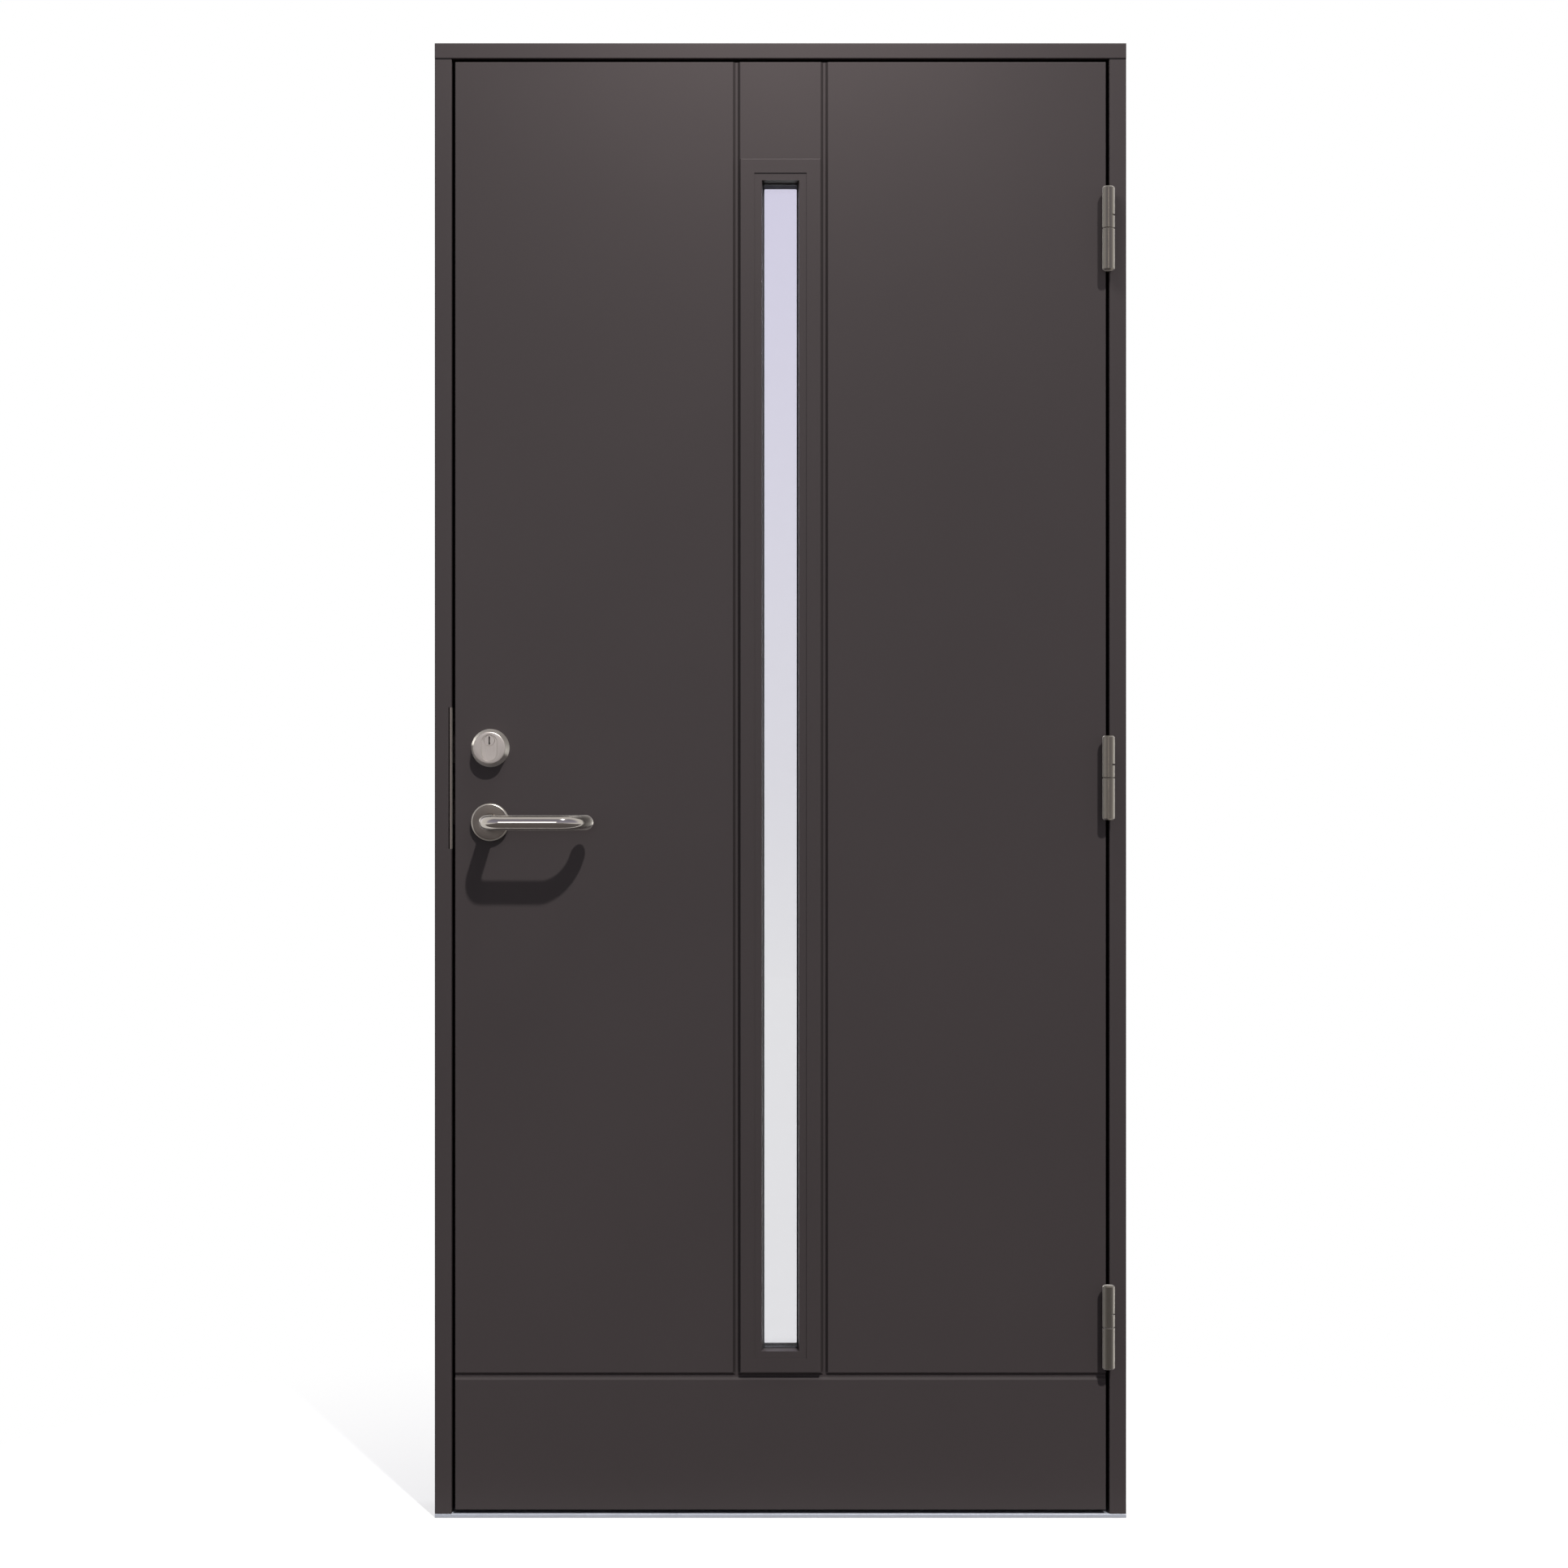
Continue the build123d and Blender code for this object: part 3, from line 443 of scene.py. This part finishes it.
def pale_foam():
    """Pale closed-cell foam with small cells."""
    material, tree, shader = new_finish("pale_foam")
    cells = cell_distance(tree, Scale=600.0)
    tree.links.new(two_colours(tree, cells, FOAM_CELL, FOAM_WALL), shader.inputs["Base Color"])
    bumps(tree, shader, cells, depth=0.0004, strength=0.5)
    shader.inputs["Roughness"].default_value = 0.9
    return material


def window_glass():
    """Clear glass that lets lamps through, with a faint unevenness in its polish."""
    material, tree, shader = new_finish("window_glass")
    shader.inputs["Base Color"].default_value = GLASS_TINT
    shader.inputs["Transmission Weight"].default_value = 1.0
    shader.inputs["IOR"].default_value = GLASS_IOR
    film = stretched_noise(tree, "Object", scale=9.0, detail=4.0)
    tree.links.new(number_range(tree, film, low=0.0, high=0.015), shader.inputs["Roughness"])
    through = add_node(tree, "ShaderNodeBsdfTransparent", {"Color": GLASS_SHADOW})
    path = add_node(tree, "ShaderNodeLightPath")
    mix = add_node(tree, "ShaderNodeMixShader")
    output = next(n for n in tree.nodes if n.type == "OUTPUT_MATERIAL")
    tree.links.new(path.outputs["Is Shadow Ray"], mix.inputs["Fac"])
    tree.links.new(shader.outputs["BSDF"], mix.inputs[1])
    tree.links.new(through.outputs["BSDF"], mix.inputs[2])
    tree.links.new(mix.outputs["Shader"], output.inputs["Surface"])
    return material


rubber = black_rubber()
slot_finish = {
    "frame_paint": frame_paint, "leaf_paint": leaf_paint, "cassette_paint": cassette_paint,
    "core_foam": pale_foam(), "threshold_metal": anodised_sill(), "threshold_wood": oiled_board(),
    "seal_rubber": rubber, "clear_glass": window_glass(), "spacer": spacer_bar(),
    "satin_steel": plate_steel,
}
own_finish = {
    "latch_jamb": jamb_paint, "hinge_jamb": jamb_paint, "outer_skin": skin_paint,
    "inner_skin": skin_paint, "lock_cylinder": lock_steel, "key_plug": lock_steel,
}
for subpart in frame["record"]["subparts"]:
    name = subpart["node"]
    finish = own_finish.get(name, slot_finish[subpart["material_slot"]])
    if name.startswith(("hinge_frame", "hinge_leaf")):
        finish = hinge_steel
    nodes[name].data.materials.clear()
    nodes[name].data.materials.append(finish)


# Levers

def lever_outlines(tube=0.0105, grip_out=0.076, reach=0.148, neck_bend=0.019, return_bend=0.038,
                   tip_leg=0.001, start=0.002, around=64):
    """Circle carried along the lever's line: straight out of the rose, a quarter bend, along the grip, a
    quarter bend back to the door and a short leg. Past the leg the radius shrinks as cos a while the
    middle moves on by sin a, which is the round tip."""
    quarter = math.pi / 2
    grip_y = FACE_Y - grip_out
    grip_end = LOCK_X + reach - tube - return_bend
    tip_x = grip_end + return_bend
    tip_y = grip_y + return_bend + tip_leg
    neck = np.linspace(FACE_Y - start, grip_y + neck_bend, 8)[:-1]
    a = np.linspace(0.0, quarter, 20)
    first_x, first_y = LOCK_X + neck_bend * (1 - np.cos(a)), grip_y + neck_bend * (1 - np.sin(a))
    grip = np.linspace(LOCK_X + neck_bend, grip_end, 14)[1:-1]
    b = np.linspace(0.0, quarter, 28)
    second_x, second_y = grip_end + return_bend * np.sin(b), grip_y + return_bend * (1 - np.cos(b))
    c = np.linspace(0.0, quarter, 14)[1:-1]
    x = np.concatenate([np.full_like(neck, LOCK_X), first_x, grip, second_x, [tip_x],
                        np.full_like(c, tip_x)])
    y = np.concatenate([neck, first_y, np.full_like(grip, grip_y), second_y, [tip_y],
                        tip_y + tube * np.sin(c)])
    turn = np.concatenate([np.zeros_like(neck), a, np.full_like(grip, quarter), quarter + b,
                           [math.pi], np.full_like(c, math.pi)])
    radius = np.concatenate([np.full(len(x) - len(c), tube), tube * np.cos(c)])
    side = np.stack([np.cos(turn), np.sin(turn), np.zeros_like(turn)], axis=1)
    upward = np.array([0.0, 0.0, 1.0])
    t = np.linspace(0.0, 2 * math.pi, around, endpoint=False)[None, :, None]
    middle = np.stack([x, y, np.full_like(x, LEVER_Z)], axis=1)
    offset = np.cos(t) * side[:, None, :] + np.sin(t) * upward
    tip_point = [tip_x, tip_y + tube, LEVER_Z]
    return middle[:, None, :] + radius[:, None, None] * offset, [middle[0], tip_point]


def to_inside(points):
    """The same place on the inner side of the leaf: Y mirrored about the middle of the leaf."""
    points = np.array(points, dtype=float)
    points[..., 1] = 2 * LEAF_MID_Y - points[..., 1]
    return points


lever_skin, lever_ends = lever_outlines()
add_piece("outer_lever_bar", closed_skin(lever_skin, "points", lever_ends), lever_steel, "lever",
          ["outer_lever"])
add_piece("inner_lever_bar", closed_skin(to_inside(lever_skin), "points", to_inside(lever_ends)),
          lever_steel, "lever", ["inner_lever"])


# Roses and cylinder rings

ROSE_CORNERS = [(0.0108, 0.0), (0.02675, 0.0), (0.02675, 0.0072), (0.0250, 0.0090), (0.0124, 0.0090),
                (0.0118, 0.0086), (0.0108, 0.0086)]
ROSE_EDGE = 0.0009
rose_profile = round_corners(ROSE_CORNERS, ROSE_EDGE)
rose_skin = turned_outlines(rose_profile, (LOCK_X, FACE_Y, LEVER_Z), (0.0, -1.0, 0.0))
add_piece("outer_rose_cover", closed_skin(rose_skin), rose_steel, "leaf",
          ["outer_lever_rose"])
add_piece("inner_rose_cover", closed_skin(to_inside(rose_skin)), rose_steel, "leaf",
          ["inner_lever_rose"])


def ring_outlines(base=0.027, front=0.0225, height=0.0175, edge=0.0015, half_w=0.01085, half_run=0.0078,
                  lip=0.0003, around=128):
    """Tapered ring about an oval hole. The oval's radius in direction t is half_w / |cos t| on its
    straight sides, and half_run |sin t| + sqrt(half_w^2 - half_run^2 cos^2 t) on its round ends. Each
    outline is a circle or that oval at one height: up the taper, over the front and down the hole."""
    t = np.linspace(0.0, 2 * math.pi, around, endpoint=False)
    cos_t, sin_t = np.cos(t), np.sin(t)
    flank = half_w / np.maximum(np.abs(cos_t), 1e-9)
    round_end = half_run * np.abs(sin_t) + np.sqrt(half_w ** 2 - (half_run * cos_t) ** 2)
    oval = np.where(np.abs(flank * sin_t) <= half_run, flank, round_end)
    bend = np.linspace(0.0, math.pi / 2, 6)
    taper = np.linspace(0.0, 1.0, 4)[:-1]
    straight = height - edge
    narrowing = (front - base) * straight / height
    circles = np.concatenate([base + narrowing * taper, base + narrowing - edge * (1 - np.cos(bend))])
    rises = np.concatenate([straight * taper, straight + edge * np.sin(bend), [height, height - lip, 0.0]])
    r = np.vstack([np.repeat(circles[:, None], around, axis=1), oval + lip, oval, oval])
    y = np.repeat(FACE_Y - rises[:, None], around, axis=1)
    return np.stack([LOCK_X + r * cos_t, y, CYLINDER_Z + r * sin_t], axis=-1)


ring_skin = ring_outlines()
add_piece("outer_lock_ring", closed_skin(ring_skin), ring_steel, "leaf",
          ["outer_cylinder_ring"])
add_piece("inner_lock_ring", closed_skin(to_inside(ring_skin)), ring_steel, "leaf",
          ["inner_cylinder_ring"])


# Hinge washers

WASHER_CORNERS = [(0.0052, -0.0004), (0.0064, -0.0004), (0.0064, 0.0004), (0.0052, 0.0004)]
WASHER_EDGE = 0.0002
washer_profile = round_corners(WASHER_CORNERS, WASHER_EDGE)
washer_skin = turned_outlines(washer_profile, (0.0, 0.0, 0.0), (0.0, 0.0, 1.0), around=48)
seam_places = [(HINGE_X, HINGE_Y, seam) for seam in HINGE_SEAMS]
add_piece("hinge_washers", closed_skin(washer_skin), plate_steel, "frame",
          places=seam_places)


# Seals

SEAL_MIDDLE = 0.0045
SEAL_BULB = 0.0021
SEAL_BULB_OUT = 0.0026
SEAL_END_OUT = 0.0007


def seal_profile():
    """Rubber seal section, (across, out) in metres: a flat foot with thin wings, and a round bulb."""
    bulb = np.linspace(-0.25 * math.pi, 1.25 * math.pi, 18)
    round_part = np.stack([SEAL_MIDDLE + SEAL_BULB * np.cos(bulb),
                           SEAL_BULB_OUT + SEAL_BULB * np.sin(bulb)], axis=1)
    right_wing = np.array([[0.0001, 0.0], [0.0089, 0.0], [0.0090, 0.0006], [0.0085, 0.0011]])
    left_wing = np.array([[0.0005, 0.0011], [0.0, 0.0006]])
    return np.vstack([right_wing, round_part, left_wing])


def straight_run(profile, start, end, across, out):
    """Profile carried along a straight line: start + a * across + h * out, and the same from end."""
    flat = profile[:, 0, None] * across + profile[:, 1, None] * out
    return np.stack([start, end])[:, None, :] + flat


seal_section = seal_profile()
toward_leaf = np.array([0.0, -1.0, 0.0])
up, right = np.array([0.0, 0.0, 1.0]), np.array([1.0, 0.0, 0.0])
seal_runs = {
    "latch_seal": (right, up), "hinge_seal": (right, up),
    "head_seal": (up, right), "threshold_seal": (up, right),
}
for name, (across, along) in seal_runs.items():
    low, high = (np.array(corner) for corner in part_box(name))
    start = np.where(along + across > 0, low, STOP_Y)
    end = np.where(along > 0, high, start)
    skin = straight_run(seal_section, start, end, across, toward_leaf)
    to_middle = SEAL_MIDDLE * across + SEAL_END_OUT * toward_leaf
    add_piece(name + "_rubber", closed_skin(skin, "points", [start + to_middle, end + to_middle]),
              rubber, "frame", [name])


# Lips of the glazing seals

def framed_outlines(profile, half_w, low_z, high_z, y, corner=0.003, steps=7):
    """Profile carried round an upright rectangle with rounded corners: path + a * inward + h * (0, 1, 0),
    where inward points from the rectangle's edge to its middle."""
    a = np.linspace(0.0, math.pi / 2, steps)
    quarter = np.arange(4)[:, None] * math.pi / 2 + a[None, :]
    mid_x = np.array([half_w - corner, -half_w + corner, -half_w + corner, half_w - corner])[:, None]
    mid_z = np.array([high_z - corner, high_z - corner, low_z + corner, low_z + corner])[:, None]
    x = (mid_x + corner * np.cos(quarter)).ravel()
    z = (mid_z + corner * np.sin(quarter)).ravel()
    inward = np.stack([-np.cos(quarter).ravel(), np.zeros(x.size), -np.sin(quarter).ravel()], axis=1)
    path = np.stack([x, np.full(x.size, y), z], axis=1)
    in_depth = np.array([0.0, 1.0, 0.0])
    flat = profile[None, :, 0, None] * inward[:, None] + profile[None, :, 1, None] * in_depth
    return path[:, None] + flat


THROAT_HALF = 0.0245
LIP_OFF_PANE = 0.001
LIP_SHIFT, LIP_HALF_ACROSS, LIP_HALF_DEEP = 0.0003, 0.0011, 0.0009
lip_turn = np.linspace(0.0, 2 * math.pi, 14, endpoint=False)
lip_profile = np.stack([LIP_SHIFT + LIP_HALF_ACROSS * np.cos(lip_turn),
                        LIP_HALF_DEEP * np.sin(lip_turn)], axis=1)
seal_low, seal_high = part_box("outer_glazing_seal")
throat_inset = (seal_high.x - seal_low.x) / 2 - THROAT_HALF
lip_planes = {
    "outer_glazing_lip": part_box("outer_pane")[0].y - LIP_OFF_PANE,
    "inner_glazing_lip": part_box("inner_pane")[1].y + LIP_OFF_PANE,
}
for name, lip_y in lip_planes.items():
    skin = framed_outlines(lip_profile, THROAT_HALF, seal_low.z + throat_inset,
                           seal_high.z - throat_inset, lip_y)
    add_piece(name, closed_skin(skin), rubber, "leaf")


# Screws

SCREW_HEAD = 0.0042
SCREW_RISE = 0.0011
SCREW_PROUD = 0.00002
STRIKE_SCREW_Y = -0.0215
STRIKE_MIDDLE_Z = 1.0435
STRIKE_SCREW_INSET = 0.014
FOREND_SCREW_INSET = 0.012
FRAME_PLATE_X = 0.466
LEAF_PLATE_X = 0.461
HINGE_PLATE_Y = -0.0385
HINGE_PLATE_OFF_SEAM = 0.030
HINGE_SCREWS = ((0.0, -0.019), (0.008, 0.0), (0.0, 0.019))


def screw_outlines(head, rise, around=48):
    """Countersunk screw head with a six-lobed recess, axis along Z: outlines of radius r (1 + k cos 6t)
    from the floor of the recess up to the face, over a low crown and down the sunk cone."""
    t = np.linspace(0.0, 2 * math.pi, around, endpoint=False)
    lobes = np.cos(6 * t)
    radii = np.array([0.20, 0.30, 0.34, 0.60, 0.92, 1.0, 0.98, 0.55]) * head
    wave = np.array([0.16, 0.16, 0.16, 0.0, 0.0, 0.0, 0.0, 0.0])
    height = np.array([-0.55, -0.55, 0.0, -0.02, -0.10, -0.2, -0.3, -0.75]) * rise
    r = radii[:, None] * (1 + wave[:, None] * lobes[None, :])
    return np.stack([r * np.cos(t), r * np.sin(t), np.repeat(height[:, None], around, axis=1)], axis=-1)


def facing_right(points):
    """Turn Z to +X."""
    return np.stack([points[..., 2], points[..., 1], -points[..., 0]], axis=-1)


def facing_left(points):
    """Turn Z to -X."""
    return np.stack([-points[..., 2], points[..., 1], points[..., 0]], axis=-1)


def hinge_screw_places(x, off_seam):
    """Three places on each hinge plate, whose middle lies off_seam above the hinge's seam."""
    return [(x, HINGE_PLATE_Y + dy, seam + off_seam + dz) for seam in HINGE_SEAMS
            for dy, dz in HINGE_SCREWS]


screw = screw_outlines(SCREW_HEAD, SCREW_RISE)
right_screw = closed_skin(facing_right(screw), "points")
left_screw = closed_skin(facing_left(screw), "points")
strike_low, strike_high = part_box("strike_plate")
strike_heights = (strike_low.z + STRIKE_SCREW_INSET, STRIKE_MIDDLE_Z, strike_high.z - STRIKE_SCREW_INSET)
strike_screws = [(strike_high.x + SCREW_PROUD, STRIKE_SCREW_Y, z) for z in strike_heights]
add_piece("strike_screws", right_screw, plate_steel, "frame", places=strike_screws)
forend_low, forend_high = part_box("lock_forend")
forend_heights = (forend_low.z + FOREND_SCREW_INSET, forend_high.z - FOREND_SCREW_INSET)
forend_screws = [(forend_low.x - SCREW_PROUD, LEAF_MID_Y, z) for z in forend_heights]
add_piece("forend_screws", left_screw, plate_steel, "leaf", places=forend_screws)
frame_hinge_screws = hinge_screw_places(FRAME_PLATE_X - SCREW_PROUD, -HINGE_PLATE_OFF_SEAM)
add_piece("frame_hinge_screws", left_screw, hinge_steel, "frame",
          places=frame_hinge_screws)
leaf_hinge_screws = hinge_screw_places(LEAF_PLATE_X + SCREW_PROUD, HINGE_PLATE_OFF_SEAM)
add_piece("leaf_hinge_screws", right_screw, hinge_steel, "leaf", places=leaf_hinge_screws)


# Floor

FLOOR_HALF = 12.0
FLOOR_LIT, FLOOR_DIM = (0.80, 0.80, 0.80), (0.14, 0.13, 0.13)
FLOOR_NEAR_WHITE = 0.55
FLOOR_FADE = (0.5, 1.3)
FLAG_DARK = (0.060, 0.052, 0.050, 1.0)
FLAG_HALF, FLAG_NEAR_Y, FLAG_Z = 3.2, -0.16, 0.002
WHITE = (1.0, 1.0, 1.0, 1.0)


def studio_floor():
    """White floor that keeps the shadow near the frame: its lit colour, mixed with plain white further
    off for rays from the camera, from gloss and through glass. Diffuse rays find it darker, so that
    little of its light comes back up on the door."""
    material = bpy.data.materials.new("studio_floor")
    material.use_nodes = True
    tree = material.node_tree
    tree.nodes.clear()
    output = add_node(tree, "ShaderNodeOutputMaterial")
    lit = add_node(tree, "ShaderNodeBsdfDiffuse")
    white = add_node(tree, "ShaderNodeEmission", {"Color": WHITE, "Strength": 1.0})
    coordinates = add_node(tree, "ShaderNodeTexCoord")
    reach = add_node(tree, "ShaderNodeVectorMath", operation="LENGTH")
    path = add_node(tree, "ShaderNodeLightPath")
    mix = add_node(tree, "ShaderNodeMixShader")
    tree.links.new(coordinates.outputs["Object"], reach.inputs[0])
    fade = number_range(tree, reach.outputs["Value"], FLOOR_NEAR_WHITE, 1.0, *FLOOR_FADE)
    tree.links.new(two_colours(tree, path.outputs["Is Diffuse Ray"], FLOOR_LIT, FLOOR_DIM, 0.0, 1.0),
                   lit.inputs["Color"])
    seen = combined(tree, "MAXIMUM", path.outputs["Is Camera Ray"], path.outputs["Is Glossy Ray"])
    seen = combined(tree, "MAXIMUM", seen, path.outputs["Is Transmission Ray"])
    tree.links.new(combined(tree, "MULTIPLY", seen, fade), mix.inputs["Fac"])
    tree.links.new(lit.outputs["BSDF"], mix.inputs[1])
    tree.links.new(white.outputs["Emission"], mix.inputs[2])
    tree.links.new(mix.outputs["Shader"], output.inputs["Surface"])
    return material


def add_stage_sheet(name, x0, x1, y0, y1, z, material):
    """Flat staged rectangle at height z."""
    mesh = bpy.data.meshes.new(name)
    mesh.from_pydata([(x0, y0, z), (x1, y0, z), (x1, y1, z), (x0, y1, z)], [], [(0, 1, 2, 3)])
    mesh.materials.append(material)
    sheet = bpy.data.objects.new(name, mesh)
    bpy.context.scene.collection.objects.link(sheet)
    return sheet


add_stage_sheet("studio_floor", -FLOOR_HALF, FLOOR_HALF, -FLOOR_HALF, FLOOR_HALF, 0.0, studio_floor())

flag_cloth, _, flag_shader = new_finish("flag_cloth")
flag_shader.inputs["Roughness"].default_value = 0.9
flag_shader.inputs["Base Color"].default_value = FLAG_DARK
flag = add_stage_sheet("dark_flag", -FLAG_HALF, FLAG_HALF, -FLOOR_HALF, FLAG_NEAR_Y, FLAG_Z, flag_cloth)
flag.visible_camera = False
flag.visible_diffuse = False
flag.visible_shadow = False
flag.visible_transmission = False


# Light: stops are (height of the direction, colour), spans are X or Y of the direction

FRONT_UPPER = ((0.60, (0.31, 0.30, 0.375)), (0.82, (0.36, 0.35, 0.40)), (0.91, (0.88, 0.87, 0.86)))
FRONT_LAVENDER = (0.42, 0.41, 0.52)
FRONT_STOPS = ((-0.080, (0.80, 0.80, 0.80)), (0.0, (0.52, 0.51, 0.57)), (0.08, (0.51, 0.50, 0.60)),
               (0.24, FRONT_LAVENDER), *FRONT_UPPER)
STRIP_WHITE = (3.5, 3.5, 3.5)
STRIP_STOPS = ((-0.012, (0.115, 0.100, 0.097)), (0.0, STRIP_WHITE), (0.24, STRIP_WHITE),
               (0.28, FRONT_LAVENDER), *FRONT_UPPER)
STRIP_LEFT, STRIP_RIGHT = (-0.16, -0.13), (-0.055, -0.025)
SIDE_STOPS = ((0.0, (0.92, 0.915, 0.90)), (0.8, (0.88, 0.87, 0.86)))
BACK_STOPS = ((-0.066, (1.0, 1.0, 1.0)), (0.04, (0.965, 0.955, 1.01)), (0.22, (0.90, 0.865, 1.05)),
              (0.8, (0.70, 0.68, 0.80)))
FRONT_BORDER, BACK_BORDER = (-0.45, -0.22), (0.3, 0.7)


def height_colours(tree, height, stops):
    """Colour by the height of a direction, from -1 straight down to 1 straight up, through the stops."""
    level = number_range(tree, height, 0.0, 1.0, -1.0, 1.0)
    ramp = add_node(tree, "ShaderNodeValToRGB")
    for index, (at, colour) in enumerate(stops):
        while len(ramp.color_ramp.elements) <= index:
            ramp.color_ramp.elements.new(1.0)
        ramp.color_ramp.elements[index].position = (at + 1) / 2
        ramp.color_ramp.elements[index].color = (*colour, 1.0)
    tree.links.new(level, ramp.inputs["Fac"])
    return ramp.outputs["Color"]


def mixed(tree, factor, first, second):
    """First colour at factor 0, second at 1."""
    made = add_node(tree, "ShaderNodeMix", data_type="RGBA")
    tree.links.new(factor, made.inputs["Factor"])
    tree.links.new(first, made.inputs["A"])
    tree.links.new(second, made.inputs["B"])
    return made.outputs["Result"]


def studio_world():
    """Room about the door: a dim lavender front with a narrow bright strip left of its middle, white sides
    and top, and a pale back. Rays from the camera see plain white."""
    room = bpy.data.worlds.new("studio")
    room.use_nodes = True
    tree = room.node_tree
    tree.nodes.clear()
    output = add_node(tree, "ShaderNodeOutputWorld")
    light = add_node(tree, "ShaderNodeBackground", {"Strength": 1.0})
    direction = split_coordinates(tree, "Generated")
    plain, strip, sides, back = (height_colours(tree, direction["Z"], stops) for stops in
                                 (FRONT_STOPS, STRIP_STOPS, SIDE_STOPS, BACK_STOPS))
    to_strip = combined(tree, "MULTIPLY", number_range(tree, direction["X"], 1.0, 0.0, *STRIP_RIGHT),
                        number_range(tree, direction["X"], 0.0, 1.0, *STRIP_LEFT))
    to_front = number_range(tree, direction["Y"], 1.0, 0.0, *FRONT_BORDER)
    to_back = number_range(tree, direction["Y"], 0.0, 1.0, *BACK_BORDER)
    front = mixed(tree, to_strip, plain, strip)
    around = mixed(tree, to_back, mixed(tree, to_front, sides, front), back)
    path = add_node(tree, "ShaderNodeLightPath")
    seen = add_node(tree, "ShaderNodeMix", {"B": WHITE}, data_type="RGBA")
    tree.links.new(path.outputs["Is Camera Ray"], seen.inputs["Factor"])
    tree.links.new(around, seen.inputs["A"])
    tree.links.new(seen.outputs["Result"], light.inputs["Color"])
    tree.links.new(light.outputs["Background"], output.inputs["Surface"])
    return room


bpy.context.scene.world = studio_world()


def add_lamp(name, kind, energy, place, towards, **settings):
    """Lamp at a place, turned to a point."""
    lamp = bpy.data.lights.new(name, kind)
    lamp.energy = energy
    for key, value in settings.items():
        setattr(lamp, key, value)
    made = bpy.data.objects.new(name, lamp)
    made.location = place
    aim = np.asarray(towards, dtype=float) - np.asarray(place, dtype=float)
    pitch = math.acos(-aim[2] / np.linalg.norm(aim))
    made.rotation_euler = (pitch, 0.0, math.atan2(-aim[0], aim[1]))
    made.visible_camera = False
    bpy.context.scene.collection.objects.link(made)
    return made


DOOR_MIDDLE = (0.0, 0.0, 1.0)
KEY_FROM = np.array([0.235, -0.587, 0.775])
KEY_REACH = 6.0
add_lamp("key_lamp", "SUN", energy=4.0, place=tuple(KEY_FROM * KEY_REACH + DOOR_MIDDLE),
         towards=DOOR_MIDDLE, angle=math.radians(1.8))
head_softbox = add_lamp("head_softbox", "AREA", energy=6.6, place=(0.0, -0.45, 2.42),
                        towards=(0.0, FACE_Y, 1.9), shape="RECTANGLE", size=0.5, size_y=0.2)
head_softbox.visible_glossy = False
back_softbox = add_lamp("back_softbox", "AREA", energy=150.0, place=(-2.2, 4.2, 3.0),
                        towards=DOOR_MIDDLE, shape="RECTANGLE", size=2.6, size_y=2.6)
back_softbox.visible_glossy = False
back_softbox.visible_transmission = False


# Camera

CAMERA_REACH = 4.3
CAMERA_X, CAMERA_Z = 0.005, 1.040
FRAME_SPAN = 2.2218
SENSOR_MM = 36.0
camera_data = bpy.data.cameras.new("camera")
camera_data.sensor_width = SENSOR_MM
camera_data.lens = SENSOR_MM * CAMERA_REACH / FRAME_SPAN
camera = bpy.data.objects.new("camera", camera_data)
camera.location = (CAMERA_X, FACE_Y - CAMERA_REACH, CAMERA_Z)
camera.rotation_euler = (math.pi / 2, 0.0, 0.0)
bpy.context.scene.collection.objects.link(camera)
bpy.context.scene.camera = camera
bpy.context.scene.view_settings.view_transform = "Standard"
